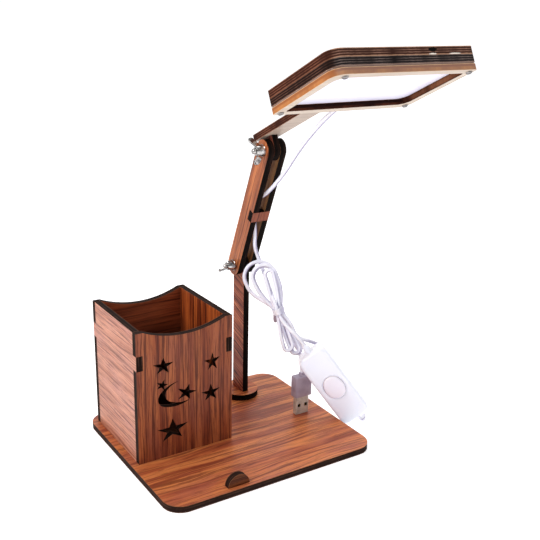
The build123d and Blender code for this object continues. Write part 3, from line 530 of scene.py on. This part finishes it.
finishes = {name: plasticMaterial(name, look) for name, look in plastics.items()}
finishes |= {name: metalMaterial(name, look) for name, look in metals.items()}
print("finishes made:", len(finishes))


# objects and meshes
def addObject(name, data):
    piece = bpy.data.objects.new(name, data)
    bpy.context.scene.collection.objects.link(piece)
    return piece


def asMesh(piece):
    # the mesh that live modifiers or a curve's section make
    return bpy.data.meshes.new_from_object(piece.evaluated_get(bpy.context.evaluated_depsgraph_get()))


def settle(piece):
    mesh = asMesh(piece)
    piece.modifiers.clear()
    piece.data = mesh
    return mesh


def meshFrom(name, shape):
    mesh = bpy.data.meshes.new(name)
    shape.to_mesh(mesh)
    shape.free()
    return mesh


def addPiece(name, mesh, material):
    mesh.materials.clear()
    mesh.materials.append(finishes[material])
    for face in mesh.polygons:
        face.use_smooth = True
    mesh.set_sharp_from_angle(angle=sharp)
    return addObject(name, mesh)


def ringMesh(name, rings, where, material, closeRound=False):
    # a mesh through rings of points in a piece's own millimetres, with flat ends or closed on itself
    shape = bmesh.new()
    rows = [[shape.verts.new(point) for point in placed(where, ring)] for ring in rings]
    for low, high in zip(rows, rows[1:] + rows[:1] if closeRound else rows[1:]):
        for i in range(len(low)):
            j = (i + 1) % len(low)
            shape.faces.new((low[i], low[j], high[j], high[i]))
    if not closeRound:
        shape.faces.new(list(reversed(rows[0])))
        shape.faces.new(rows[-1])
    bmesh.ops.recalc_face_normals(shape, faces=shape.faces)
    return addPiece(name, meshFrom(name, shape), material)


def lathe(profile, steps=40):
    # rings about the piece's own z; profile is (radius, height)
    return [[(r * cos(2 * pi * i / steps), r * sin(2 * pi * i / steps), h) for i in range(steps)] for r, h in profile]


def roundedLoop(length, width, corner, steps, height, shift=0.0):
    # a rounded rectangle about the piece's own z, anticlockwise
    points = []
    for k, (sx, sy) in enumerate(((1, 1), (-1, 1), (-1, -1), (1, -1))):
        for i in range(steps + 1):
            angle = radians(90 * (k + i / steps))
            points.append((sx * (length / 2 - corner) + corner * cos(angle),
                           sy * (width / 2 - corner) + corner * sin(angle) + shift, height))
    return points


def bevelledBlock(name, size, bevel, segments):
    shape = bmesh.new()
    bmesh.ops.create_cube(shape, size=1.0, matrix=Matrix.Diagonal((*size, 1)))
    bmesh.ops.bevel(shape, geom=shape.edges[:], offset=bevel, segments=segments, affect="EDGES")
    return addObject(name, meshFrom(name, shape))


def join(name, pieces):
    # several pieces of one body as one
    whole = bmesh.new()
    materials = []
    for piece in pieces:
        start = len(whole.faces)
        own = [slot.material for slot in piece.material_slots]
        materials += [material for material in own if material not in materials]
        whole.from_mesh(piece.data)
        whole.faces.ensure_lookup_table()
        for face in whole.faces[start:]:
            face.material_index = materials.index(own[min(face.material_index, len(own) - 1)])
        bpy.data.objects.remove(piece)
    mesh = meshFrom(name, whole)
    for material in materials:
        mesh.materials.append(material)
    mesh.set_sharp_from_angle(angle=sharp)
    return addObject(name, mesh)


# camera
view = dict(lens=55.617, sensor=36.0, eye=(-288.387, -499.514, 321.892), azimuth=-33.0, elevation=17.914, roll=1.179)
az, el, roll = map(radians, pick(view, "azimuth elevation roll"))
ahead = Vector((-sin(az) * cos(el), cos(az) * cos(el), -sin(el)))
right = Vector((cos(az), sin(az), 0))
above = right.cross(ahead)
cameraData = bpy.data.cameras.new("camera")
cameraData.lens, cameraData.sensor_width = view["lens"], view["sensor"]
camera = addObject("camera", cameraData)
cameraTurn = Matrix((right * cos(roll) + above * sin(roll), above * cos(roll) - right * sin(roll), -ahead)).transposed()
camera.matrix_world = Matrix.Translation(Vector(view["eye"]) * mm) @ cameraTurn.to_4x4()
bpy.context.scene.camera = camera


# cords
cordSize = dict(diameter=3.0, smooth=10, rounds=4)


def smoothCord(name, points, thick=True):
    # a smooth curve that follows its points loosely, as a limp cord does
    curve = bpy.data.curves.new(name, "CURVE")
    curve.dimensions = "3D"
    spline = curve.splines.new("NURBS")
    spline.points.add(len(points) - 1)
    for control, point in zip(spline.points, points):
        control.co = (*point, 1)
    spline.order_u = 3
    spline.use_endpoint_u = True
    curve.resolution_u = cordSize["smooth"]
    if thick:
        curve.bevel_depth = cordSize["diameter"] / 2 * mm
        curve.bevel_resolution = cordSize["rounds"]
        curve.use_fill_caps = True
        curve.materials.append(finishes["cordWhite"])
    return addObject(name, curve)


def cordMesh(name, points, thick=True):
    # the mesh of a cord, or of the line that it follows
    cord = smoothCord(name, points, thick)
    mesh = asMesh(cord)
    bpy.data.objects.remove(cord)
    return mesh


def cordPath(name, points):
    return [vertex.co.copy() for vertex in cordMesh(name + "Line", points, thick=False).vertices]


def bendingCord(name, points):
    # a cord as a mesh, with the line that it follows
    return addPiece(name, cordMesh(name + "Tube", points), "cordWhite"), cordPath(name, points)


def lengthOf(path):
    return sum((b - a).length for a, b in zip(path, path[1:]))


def metres(points):
    return [Vector(point) * mm for point in points]


# from the head to the arm, and from the arm through the hank's loops to the switch
headCordRoute = metres([
    (50.0, -69.77, 262.45), (50.0, -58.91, 257.34), (47.6, -46.5, 247.6), (45.6, -33.5, 235.2),
    (44.6, -20.0, 221.5), (43.2, -5.0, 202.8), (41.2, 12.6, 185.6), (41.0, 25.04, 178.88),
    (41.0, 28.08, 173.43), (41.0, 29.63, 169.74),
])
armCordRoute = metres([(41.0, 29.63, 169.74), (41.0, 31.94, 164.21), (41.0, 29.48, 150.93), (40.4, 29.8, 139.5)])
armCordRoute += placed(hankPlace, [
    (-41.0, 0.0, -10.3), (-29.5, 0.0, -5.5), (-18.5, 0.2, 1.2), (-9.0, 0.0, 7.9), (-1.0, 0.0, 9.6), (7.5, 0.2, 9.8),
    (16.0, 3.2, 10.6),
]) + placed(switchPlace, [(50.5, 0, 0), (41.5, 0, 0)])

# hank: each layer has a loop above the waist and, behind it, a loop below; reaches are left, right, far
# and how much the far end leans to the right
hank = dict(
    layers=4, step=3.8, waist=1.8, start=(15.0, 5.4), end=(15.0, -3.0),
    above=[(16.3, 7.8, 40.2, 0), (9.2, 8.4, 36.0, 0), (9.5, 8.9, 37.4, 0), (3.3, 3.3, 32.3, 4.4)],
    below=[(3.4, 3.4, 39.8, 1.6), (3.2, 3.2, 38.4, 0.8), (3.5, 3.5, 33.2, -3.4)],
    aboveForm=[(0.16, 0.55), (0.42, 0.95), (0.38, -0.85)], belowForm=[(0.24, -0.5), (0.60, -0.95), (0.30, 0.7)],
    tipForm=[(1.45, 1), (0.59, 1), (0, 0.41)],  # of a tip's radius: back from the far end, and sideways
)


def layerDepth(layer):
    return (layer - (hank["layers"] - 1) / 2) * hank["step"]


def swing(start, end):
    # two points that carry the cord from one straight line to another beside it
    (d0, a0, z0), (d1, a1, z1) = start, end
    halfRun, halfShift = abs(d1 - d0) / 2, dist((a0, z0), (a1, z1)) / 2
    reach = (halfRun ** 2 + halfShift ** 2) / (2 * halfRun) * (1 if d1 > d0 else -1)
    return [(d0 + reach, a0, z0), (d1 - reach, a1, z1)]


def loopPoints(form, reaches, sign, depths):
    # a loop that goes from one side of the waist to the other, with a round tip; its depth moves evenly
    left, right, far, leaning = reaches
    first = 1 if form[0][1] > 0 else -1
    tip, middle = (left + right) / 2, (right - left) / 2
    ends = [(far - tip * back, first * side) for back, side in hank["tipForm"]]
    ends += [(along, -side) for along, side in reversed(ends)]
    path = [(along * far, side * (right if side > 0 else left)) for along, side in form]
    path[2:2] = [(along, middle + tip * side) for along, side in ends]
    points = []
    for i, (along, side) in enumerate(path):
        share = i / (len(path) - 1)
        points.append((sign * along, side + leaning * along / far, depths[0] + (depths[1] - depths[0]) * share))
    return points


def hankTurns():
    front, waist = hank["layers"] - 1, hank["waist"]
    points = swing((*hank["start"], layerDepth(front)), (0, waist, layerDepth(front)))
    for layer in range(front, -1, -1):
        depth = layerDepth(layer)
        points += loopPoints(hank["aboveForm"], hank["above"][layer], -1, (depth, depth)) + [(0, -waist, depth)]
        if layer > 0:
            behind = layerDepth(layer - 1)
            points += loopPoints(hank["belowForm"], hank["below"][layer - 1], 1, (depth, behind)) + [(0, waist, behind)]
    points.append(swing((0, -waist, layerDepth(0)), (*hank["end"], layerDepth(-1)))[1])
    return points


# from the switch's low end round to the hank, through its loops, and on to the plug
supplyRoute = placed(switchPlace, [(-36.5, 0, 0), (-40.2, 0, 0)]) + metres([
    (107.5, -33.2, 1.7), (111.5, -29.0, 1.7), (113.0, -21.0, 1.8), (112.0, -11.5, 5.0), (108.5, -4.0, 15.0),
    (103.0, -1.0, 29.0), (96.5, -1.5, 43.5), (87.5, -3.2, 57.0), (67.8, -9.6, 69.0),
]) + placed(hankPlace, [(25.5, 5.4, 5.7)] + hankTurns() + [(23.0, -3.0, -9.5)]) + metres([
    (66.7, 5.6, 58.8), (66.6, -0.9, 52.4), (65.4, -4.4, 46.0), (65.4, -4.4, 40.4),
])
headCord, headCordPath = bendingCord("headCord", headCordRoute)
armCord, armCordPath = bendingCord("armCord", armCordRoute)
supplyCord, supplyPath = smoothCord("supplyCord", supplyRoute), cordPath("supply", supplyRoute)
print("cords made:", [round(lengthOf(path) / mm, 1) for path in (headCordPath, armCordPath, supplyPath)])


# tie: a band round the waist with a loose tail, whose rings are a middle, a turn in degrees and a share of its size
tie = dict(
    length=5.0, wall=0.8, room=0.3, edge=0.3, steps=64, lampStrand=9.6, tailWidth=3.0,
    tail=[((0.5, -3.3, 5.5), 60, 0.9), ((3.0, -4.0, 6.0), 50, 1.0), ((5.0, -4.6, 6.2), 35, 1.0),
          ((6.8, -4.9, 6.0), 15, 0.9), ((8.0, -4.8, 5.6), 5, 0.55)],
    tailForm=((1, 0.6), (0.8, 1), (-0.8, 1), (-1, 0.6), (-1, -0.6), (-0.8, -1), (0.8, -1), (1, -0.6)),
)


def bandLoop(reach, along):
    centres = [(side * hank["waist"], layerDepth(layer)) for side in (1, -1) for layer in (0, hank["layers"] - 1)]
    centres.append((0.0, tie["lampStrand"]))
    loop = []
    for i in range(tie["steps"]):
        angle = 2 * pi * i / tie["steps"]
        way = Vector((cos(angle), sin(angle)))
        far = max(centres, key=lambda centre: Vector(centre).dot(way))
        loop.append((along, far[0] + reach * way.x, far[1] + reach * way.y))
    return loop


def makeTie():
    inner = cordSize["diameter"] / 2 + tie["room"]
    outer, half, edge = inner + tie["wall"], tie["length"] / 2, tie["edge"]
    profile = [(-half + edge, inner), (-half, inner + edge), (-half, outer - edge), (-half + edge, outer),
               (0, outer + 0.05), (half - edge, outer), (half, outer - edge), (half, inner + edge),
               (half - edge, inner)]
    band = ringMesh("tieBand", [bandLoop(reach, along) for along, reach in profile], hankPlace, "tieWhite", True)
    rings = []
    for centre, turn, share in tie["tail"]:
        across = Vector((0.0, cos(radians(turn)), sin(radians(turn))))
        through = Vector((0.35, -across.z, across.y)).normalized()
        wide, thin = across * (tie["tailWidth"] / 2 * share), through * (tie["wall"] / 2 * share)
        rings.append([Vector(centre) + wide * u + thin * v for u, v in tie["tailForm"]])
    return join("cordTie", [band, ringMesh("tieTail", rings, hankPlace, "tailShade")])


cordTie = makeTie()


# switch: a rounded housing with a seam, a domed button and two reliefs, the top one ribbed
switch = dict(
    length=69.0, width=25.0, thick=14.0, corner=5.5, edge=2.4, seam=0.35, seamDeep=0.3,
    button=(20.0, 15.8), buttonForm=2.2, buttonGap=0.25, lip=1.1, wellFloor=3.0, buttonRise=1.4, buttonFoot=4.45,
)


def oval(length, width, count, height):
    # between an ellipse and a rectangle, with as many points as the housing's outline has
    angles = [2 * pi * (i + 0.5) / count for i in range(count)]
    power = 2 / switch["buttonForm"]
    return [(length / 2 * copysign(abs(cos(a)) ** power, cos(a)),
             width / 2 * copysign(abs(sin(a)) ** power, sin(a)), height) for a in angles]


def makeHousing():
    edge, seam, deep, lip = pick(switch, "edge seam seamDeep lip")
    half = switch["thick"] / 2

    def rounding(sign):
        turns = [radians(15 * k) for k in range(7)]
        return [(edge * (1 - cos(t)), sign * (half - edge + edge * sin(t))) for t in turns]

    groove = [(0, -seam), (deep, -seam * 0.4), (deep, seam * 0.4), (0, seam)]
    rings = [roundedLoop(switch["length"] - 2 * inset, switch["width"] - 2 * inset, switch["corner"] - inset, 12,
                         height) for inset, height in rounding(-1)[::-1] + groove + rounding(1)]
    length, width = (size + 2 * switch["buttonGap"] for size in switch["button"])
    well = ((2 * lip + 1.2, half), (2 * lip, half + 0.02), (lip, half - 0.28), (0.3, half - 0.5), (0.0, half - 0.9),
            (0.0, switch["wellFloor"]))
    rings += [oval(length + grow, width + grow, len(rings[0]), height) for grow, height in well]
    return ringMesh("switchHousing", rings, switchPlace, "switchWhite")


def makeButton():
    length, width = switch["button"]
    top = switch["thick"] / 2 + switch["buttonRise"]
    profile = [(0.0, switch["buttonFoot"]), (0.0, top - 1.5), (0.25, top - 1.0), (0.9, top - 0.5), (2.2, top - 0.16),
               (4.5, top - 0.05), (9.0, top), (13.0, top)]
    rings = [oval(length - inset, width - inset, 52, height) for inset, height in profile]
    return ringMesh("switchButton", rings, switchPlace, "buttonWhite")


switchHousing, switchButton = makeHousing(), makeButton()


# geometry nodes: grids, ribs and threads
def endTree(g, geometry, entry):
    whole = g.put("GeometryNodeRealizeInstances", {0: geometry})[0]
    g.leave(geometry=g.put("GeometryNodeSetMaterial", {0: whole, "Material": entry["material"]})[0])
    return g.tree


def ringCurve(g, radius, resolution):
    return g.put("GeometryNodeCurvePrimitiveCircle", {"Resolution": resolution, "Radius": radius})["Curve"]


def makeGridTree():
    # the same shape at every crossing of a grid
    g, entry = newGroup("gridOfShapes", "Geometry", seed="Geometry", length=1.0, width=1.0, columns=2, rows=2,
                        shape="Object", material="Material")
    grid = g.put("GeometryNodeMeshGrid", {
        "Size X": entry["length"], "Size Y": entry["width"],
        "Vertices X": entry["columns"], "Vertices Y": entry["rows"],
    })["Mesh"]
    shape = g.put("GeometryNodeObjectInfo", {"Object": entry["shape"]})["Geometry"]
    return endTree(g, g.put("GeometryNodeInstanceOnPoints", {"Points": grid, "Instance": shape})[0], entry)


def makeRibTree():
    # rings along z that shrink from the first to the last
    g, entry = newGroup("taperedRibs", "Geometry", seed="Geometry", count=5, pitch=1.0, radius=3.0, lastScale=0.8,
                        ribRadius=0.3, material="Material")
    line = g.put("GeometryNodeMeshLine", {"Count": entry["count"], "Offset": g.vector(z=entry["pitch"])})["Mesh"]
    rib = g.put("GeometryNodeCurveToMesh", {
        "Curve": ringCurve(g, entry["radius"], 28), "Profile Curve": ringCurve(g, entry["ribRadius"], 8),
    })[0]
    index = g.put("GeometryNodeInputIndex")[0]
    size = g.blend(g.sums("DIVIDE", index, g.minus(entry["count"], 1.0)), 1.0, entry["lastScale"])
    scale = g.vector(x=size, y=size, z=1.0)
    ribs = g.put("GeometryNodeInstanceOnPoints", {"Points": line, "Instance": rib, "Scale": scale})[0]
    return endTree(g, ribs, entry)


def makeThreadTree():
    # a screw thread: a spiral with a small round section
    g, entry = newGroup("screwThread", "Geometry", seed="Geometry", turns=4.0, radius=2.0, height=2.5, depth=0.2,
                        material="Material")
    spiral = g.put("GeometryNodeCurveSpiral", {
        "Resolution": 24, "Rotations": entry["turns"], "Start Radius": entry["radius"], "End Radius": entry["radius"],
        "Height": entry["height"],
    })[0]
    section = ringCurve(g, entry["depth"], 6)
    thread = g.put("GeometryNodeCurveToMesh", {"Curve": spiral, "Profile Curve": section, "Fill Caps": True})[0]
    return endTree(g, thread, entry)


gridTree, ribTree, threadTree = makeGridTree(), makeRibTree(), makeThreadTree()


def grown(name, tree, where, material, **inputs):
    # runs a tree on an empty mesh and keeps what it makes as a plain piece
    piece = addObject(name, bpy.data.meshes.new(name + "Seed"))
    modifier = piece.modifiers.new("tree", "NODES")
    modifier.node_group = tree
    inputs["material"] = finishes[material]
    for socket in tree.interface.items_tree:
        if socket.in_out == "INPUT" and socket.name in inputs:
            modifier[socket.identifier] = inputs[socket.name]
    mesh = settle(piece)
    mesh.transform(where)
    for face in mesh.polygons:
        face.use_smooth = True
    mesh.set_sharp_from_angle(angle=radians(40))
    return piece


# strain reliefs of the switch
relief = dict(foot=3.2, tip=2.2, stub=2.0, wall=1.6, hole=1.5, topLength=7.0, lowLength=2.0, ribs=5, ribRadius=0.32)


def makeRelief(name, end, length, ribs):
    where = switchPlace @ Matrix.Translation((end * switch["length"] / 2, 0, 0)) @ Matrix.Scale(1 / mm, 4)
    where = where @ place((0, 0, 0), (0, 1, 0), (end, 0, 0))
    foot, tip, low = relief["foot"], relief["tip"], -relief["stub"] - relief["wall"]
    pieces = [ringMesh(name + "Body", lathe([
        (0.6, low), (tip, low), (tip, -0.4), (foot, -0.2), (foot, 0.5), (foot - 0.35, 0.9), (tip, length - 0.5),
        (tip - 0.2, length - 0.1), (relief["hole"], length),
    ], 28), where, "switchWhite")]
    if ribs:
        first = foot - 0.45
        pieces.append(grown(
            name + "Ribs", ribTree, where @ Matrix.Translation((0, 0, 1.5)), "switchWhite", count=ribs,
            pitch=(length - 2.4) / ribs, radius=first, lastScale=(tip + 0.05) / first, ribRadius=relief["ribRadius"]))
    return join(name, pieces)


topRelief = makeRelief("topRelief", 1, relief["topLength"], relief["ribs"])
lowRelief = makeRelief("lowRelief", -1, relief["lowLength"], 0)
print("switch made")


# usb plug: a folded shell with two windows, an insert with four contacts and a moulded grip
plug = dict(
    width=12.0, thick=4.5, wall=0.35, length=15.6, corner=0.55, window=2.7, spread=6.4, windowUp=7.6,
    gripWidth=15.6, gripThick=8.0, gripLength=17.4, gripCorner=1.6, gripRound=1.3, neck=2.6, neckLength=2.4,
    neckHole=1.55, insertThick=1.9, contacts=4, contactPitch=2.3, contact=(1.1, 0.12, 8.5), contactUp=5.2,
)


def makeShell():
    wall, high, wide, thick = pick(plug, "wall length width thick")
    rings = [roundedLoop(wide - 2 * inset, thick - 2 * inset, plug["corner"] - inset, 4, height)
             for inset, height in ((0.12, 0), (0, 0.12), (0, high), (wall, high), (wall, 0.0))]
    shell = ringMesh("plugShell", rings, plugPlace, "shellMetal", True)
    cutters = bmesh.new()
    size = Matrix.Diagonal((plug["window"], thick * 2, plug["window"], 1))
    for side in (1, -1):
        centre = Matrix.Translation((side * plug["spread"] / 2, 0, plug["windowUp"]))
        bmesh.ops.create_cube(cutters, size=1.0, matrix=plugPlace @ centre @ size)
    cutter = addObject("windowCutter", meshFrom("windowCutter", cutters))
    cut = shell.modifiers.new("windows", "BOOLEAN")
    cut.object, cut.solver = cutter, "EXACT"
    settle(shell)
    bpy.data.objects.remove(cutter)
    return shell


def makeGrip():
    bend, neck, hole = pick(plug, "gripRound neck neckHole")
    low, high = plug["length"], plug["length"] + plug["gripLength"]
    top = high + plug["neckLength"]
    sides = [(0.35, low), (0.1, low + 0.1), (0, low + 0.35)]
    sides += [(bend * (1 - cos(t)), high - bend + bend * sin(t)) for t in (radians(18 * k) for k in range(6))]
    rings = [roundedLoop(plug["gripWidth"] - 2 * inset, plug["gripThick"] - 2 * inset,
                         plug["gripCorner"] - min(inset, 1.2), 7, height) for inset, height in sides]
    profile = [(hole, high - 1.0), (neck + 0.5, high - 0.6), (neck, high + 0.2), (neck - 0.2, top - 0.4), (hole, top)]
    return join("plugGrip", [ringMesh("gripBody", rings, plugPlace, "plugWhiteShaded"),
                             ringMesh("gripNeck", lathe(profile, 28), plugPlace, "plugWhiteShaded")])


def makeInsert():
    wall, deep = plug["wall"], plug["insertThick"]
    back, width = plug["thick"] / 2 - wall, plug["width"] - 2 * wall
    block = ringMesh("insertBlock", [
        roundedLoop(width - 0.1 - inset, deep - 0.1 - inset, 0.2, 3, height, back - deep / 2)
        for inset, height in ((0.3, wall), (0.0, wall + 0.2), (0.0, plug["length"]))
    ], plugPlace, "insertBlack")
    pad = bevelledBlock("contactPad", plug["contact"], 0.05, 1)
    where, count = plugPlace @ Matrix.Translation((0, back - deep, plug["contactUp"])), plug["contacts"]
    row = grown("contacts", gridTree, where, "contactGold", length=plug["contactPitch"] * (count - 1), width=0.0,
                columns=count, rows=1, shape=pad)
    bpy.data.objects.remove(pad)
    return join("plugInsert", [block, row])


plugShell, plugGrip, plugInsert = makeShell(), makeGrip(), makeInsert()
print("plug made")


# hinge hardware: bolts with a thread where it shows, washers and cast wing nuts
hardware = dict(
    gap=15.4, washer=0.8, washerRadius=4.5, bolt=2.0, slip=0.08, headRadius=3.9, headHeight=2.6, socket=1.3, tip=2.5,
    nutHeight=5.5, nutFoot=4.2, nutTop=3.2, pitch=0.7, threadDepth=0.17, wing=1.8,
    wingForm=[(2.6, 0.7), (4.4, 0.9), (6.6, 2.4), (8.6, 4.0), (10.1, 5.4), (10.5, 6.6), (10.2, 7.9), (9.3, 8.8),
              (8.2, 8.8), (7.2, 8.2), (5.8, 6.9), (4.4, 5.4), (3.2, 4.5), (2.6, 4.2)],
)
half, seat = hardware["gap"] / 2, hardware["gap"] / 2 + hardware["washer"]
boreRadius = hardware["bolt"] + hardware["slip"]


def makeBolt(name, where):
    radius, head, socket = pick(hardware, "bolt headRadius socket")
    core, length = radius - hardware["threadDepth"], hardware["tip"] + hardware["nutHeight"] + 0.4
    low, high = -(seat + hardware["nutHeight"] + hardware["tip"]), seat + hardware["headHeight"]
    body = ringMesh(name + "Body", lathe([
        (core - 0.5, low), (core, low + 0.5), (core, -half - 1.2), (radius, -half - 0.9), (radius, seat), (head, seat),
        (head, seat + 0.9), (head - 0.35, seat + 1.7), (head - 1.2, seat + 2.35), (socket + 0.2, high),
        (socket, high - 0.1), (socket, seat + 1.0),
    ]), where, "nickel")
    thread = grown(name + "Thread", threadTree, where @ Matrix.Translation((0, 0, low + 0.35)), "nickel",
                   turns=length / hardware["pitch"], radius=core, height=length, depth=hardware["threadDepth"])
    return join(name, [body, thread])


def makeWasher(name, where, low):
    outer, inner, thick = hardware["washerRadius"], boreRadius, hardware["washer"]
    profile = [(inner, 0.1), (inner + 0.1, 0), (outer - 0.15, 0), (outer, 0.15), (outer, thick - 0.15),
               (outer - 0.15, thick), (inner + 0.1, thick), (inner, thick - 0.1)]
    return ringMesh(name, lathe([(radius, low + height) for radius, height in profile]), where, "nickel", True)


def makeWingNut(name, hinge, turn):
    where = place(hinge - x * seat, (0, cos(radians(turn)), sin(radians(turn))), (-1, 0, 0))
    inner, (foot, top, high) = boreRadius, pick(hardware, "nutFoot nutTop nutHeight")
    profile = [(inner, 0.2), (inner + 0.2, 0), (foot - 0.2, 0), (foot, 0.25), (foot - 0.1, 1.0),
               (top + 0.25, high - 0.9), (top, high - 0.3), (top - 0.3, high), (inner + 0.2, high), (inner, high - 0.2)]
    pieces = [ringMesh(name + "Body", lathe(profile), where, "nickel", True)]
    for side in (1, -1):
        outline = [Vector((side * px, pz)) for px, pz in hardware["wingForm"]]
        centre = sum(outline, Vector((0, 0))) / len(outline)
        rings = []
        for share, thick in ((0.90, -0.5), (1.0, -0.36), (1.0, 0.36), (0.90, 0.5)):
            flat = [centre + (point - centre) * share for point in outline]
            rings.append([(point.x, thick * hardware["wing"], point.y) for point in flat])
        pieces.append(ringMesh(f"{name}Wing{side}", rings, where, "nickel"))
    return join(name, pieces)


hingeSets = {}
for which, hinge, turn in (("lower", lowerHinge, 143.0), ("upper", upperHinge, 60.0)):
    where = place(hinge, (0, 1, 0), (1, 0, 0))
    hingeSets[which] = dict(
        bolt=makeBolt(which + "Bolt", where), left=makeWasher(which + "WasherLeft", where, -seat),
        right=makeWasher(which + "WasherRight", where, half), nut=makeWingNut(which + "WingNut", hinge, turn),
    )
print("hinge hardware made")


# head: four recessed screws and the light plate behind the sheet
head = dict(
    reach=90.0, depth=68.5, width=106.5, inset=3.9, pastCorner=9.0, underside=-1.0, screwHead=2.0, screwRise=1.2,
    shank=1.2, screwLength=12.0, cross=0.42, turn=0.7, plate=1.6, plateInset=12.0, boardUnder=9.0,
    chip=(3.0, 3.0, 1.0), pitch=9.5, chipsAlong=5, chipsAcross=8,
)


def crossedRing(radius, height, cross=0.0, steps=32):
    # a circle that is pressed into a cross when cross is above 0
    angles = [2 * pi * i / steps for i in range(steps)]
    radii = [radius * (1 - cross * (0.5 - 0.5 * cos(4 * angle))) for angle in angles]
    return [(r * cos(angle), r * sin(angle), height) for r, angle in zip(radii, angles)]


def makeScrews():
    wide, shank, rise, long = pick(head, "screwHead shank screwRise screwLength")
    rings = [crossedRing(*ring) for ring in (
        (shank - 0.3, long), (shank, long - 1.5), (shank, 0), (wide, 0), (wide, -0.3), (wide * 0.86, -rise * 0.75),
        (wide * 0.62, -rise), (1.15, -rise, head["cross"]), (0.9, -rise + 0.7, head["cross"]))]
    near, far, side = head["reach"] + head["inset"], head["reach"] + head["depth"] - head["inset"], head["width"] / 2
    places = [(near, head["inset"] - side), (near, side - head["inset"]), (far, head["pastCorner"] - side),
              (far, side - head["inset"])]
    screws = []
    for i, spot in enumerate(places):
        where = headPlace @ Matrix.Translation((*spot, head["underside"])) @ Matrix.Rotation(head["turn"] * i, 4, "Z")
        screws.append(ringMesh(f"screw{i}", rings, where, "screwSteel"))
    return join("headScrews", screws)


def makeLights():
    middle = headPlace @ Matrix.Translation((head["reach"] + head["depth"] / 2, 0, 0))
    under, thick = head["boardUnder"] - head["plate"], head["chip"][2]
    length, width = (head[key] - 2 * head["plateInset"] for key in ("depth", "width"))
    rings = [roundedLoop(length, width, 1.0, 3, height) for height in (under, under + head["plate"])]
    plate = ringMesh("platePart", rings, middle, "lightBoard")
    chip = bevelledBlock("chipShape", head["chip"], 0.15, 2)
    chips = grown("chips", gridTree, middle @ Matrix.Translation((0, 0, under - thick / 2)), "lightChip",
                  length=head["pitch"] * (head["chipsAlong"] - 1), width=head["pitch"] * (head["chipsAcross"] - 1),
                  columns=head["chipsAlong"], rows=head["chipsAcross"], shape=chip)
    bpy.data.objects.remove(chip)
    return join("lightPlate", [plate, chips])


headScrews, lightPlate = makeScrews(), makeLights()
dress("diffuser_sheet", finishes["opalSheet"])
dress("switch_core", finishes["insertBlack"])
print("head made")


# what rides where, and what stands for which node
stands = [
    (supplyCord, "stand", "cord_white", ["cord_from_switch", "cord_hank", "cord_to_plug"]),
    (cordTie, "stand", "tie_white", ["cord_tie"]),
    (switchHousing, "stand", "switch_white", ["switch_lower_shell", "switch_upper_shell"]),
    (switchButton, "button", "switch_white", ["switch_button"]),
    (topRelief, "stand", "switch_white", ["switch_relief_top"]),
    (lowRelief, "stand", "switch_white", ["switch_relief_low"]),
    (plugShell, "stand", "steel", ["plug_shell"]),
    (plugGrip, "stand", "plug_white", ["plug_overmould"]),
    (plugInsert, "stand", "insert", ["plug_insert"]),
    (headScrews, "upper_arm", "steel", [f"head_screw_{i}" for i in range(1, 5)]),
    (lightPlate, "upper_arm", "light_plate", ["light_plate"]),
]
for which, parts in hingeSets.items():
    stands += [
        (parts["bolt"], "mid_arm", "steel", [which + "_bolt"]),
        (parts["left"], "mid_arm", "steel", [which + "_washer_left"]),
        (parts["right"], "mid_arm", "steel", [which + "_washer_right"]),
        (parts["nut"], which + "_nut", "steel", [which + "_wing_nut"]),
    ]
for piece, body, slotName, replaced in stands:
    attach(piece, body)
    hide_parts(*replaced)

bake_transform(headCord)
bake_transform(armCord)
for piece, node in ((headCord, "cord_upper"), (armCord, "cord_lower")):
    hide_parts(node)

print("pieces placed:", len(stands) + 2)


# studio: a lit white table, a white wall behind, a darker room in front and soft lamps
studio = dict(floor=12.0, floorTones=("f2f2f4", "f6f6f8"), floorGlow=0.55, wall=1.04, room=0.22,
              wallWay=(0.54, 0.84, 0.1))
floorMesh = bpy.data.meshes.new("floor")
edge = studio["floor"] / 2
floorMesh.from_pydata([(-edge, -edge, 0), (edge, -edge, 0), (edge, edge, 0), (-edge, edge, 0)], [], [(0, 1, 2, 3)])
floorMaterial, g, shader, coords = newMaterial("floorPaper")
g.fill(shader, {
    "Base Color": g.mix(g.cloud(coords["Object"], 4.0), *studio["floorTones"]), "Roughness": 0.9,
    "Specular IOR Level": 0.1, "Emission Color": white, "Emission Strength": studio["floorGlow"],
})
floorMesh.materials.append(floorMaterial)
floor = addObject("floor", floorMesh)

world = bpy.data.worlds.new("studio")
world.use_nodes = True
sky, background = Graph(world.node_tree), world.node_tree.nodes["Background"].inputs
way = sky.dot(sky.put("ShaderNodeTexCoord")["Generated"], studio["wallWay"])
glow = sky.blend(sky.between(way, -0.2, 0.6), studio["room"], studio["wall"])
sky.fill(background, {"Color": white, "Strength": glow})
bpy.context.scene.world = world
bpy.context.scene.view_settings.view_transform = "Standard"

lamps = {
    "keyLamp": dict(at=(-1.0, -0.05, 0.95), aim=(0.0, 0.0, 0.10), size=0.6, power=10.0, tint=(1.0, 0.98, 0.97)),
    "fillLamp": dict(at=(0.55, -0.95, 0.65), aim=(0.0, 0.0, 0.12), size=0.7, power=2.0, tint=(0.97, 0.97, 1.0)),
    "topLamp": dict(at=(0.35, 0.55, 1.10), aim=(0.0, 0.0, 0.05), size=0.7, power=3.0, tint=(1.0, 0.99, 0.98)),
}
for name, lamp in lamps.items():
    data = bpy.data.lights.new(name, "AREA")
    data.size, data.energy, data.color = lamp["size"], lamp["power"], lamp["tint"]
    at = Vector(lamp["at"])
    facing = (Vector(lamp["aim"]) - at).to_track_quat("-Z", "Y").to_matrix().to_4x4()
    addObject(name, data).matrix_world = Matrix.Translation(at) @ facing
print("studio set")

bpy.context.view_layer.update()
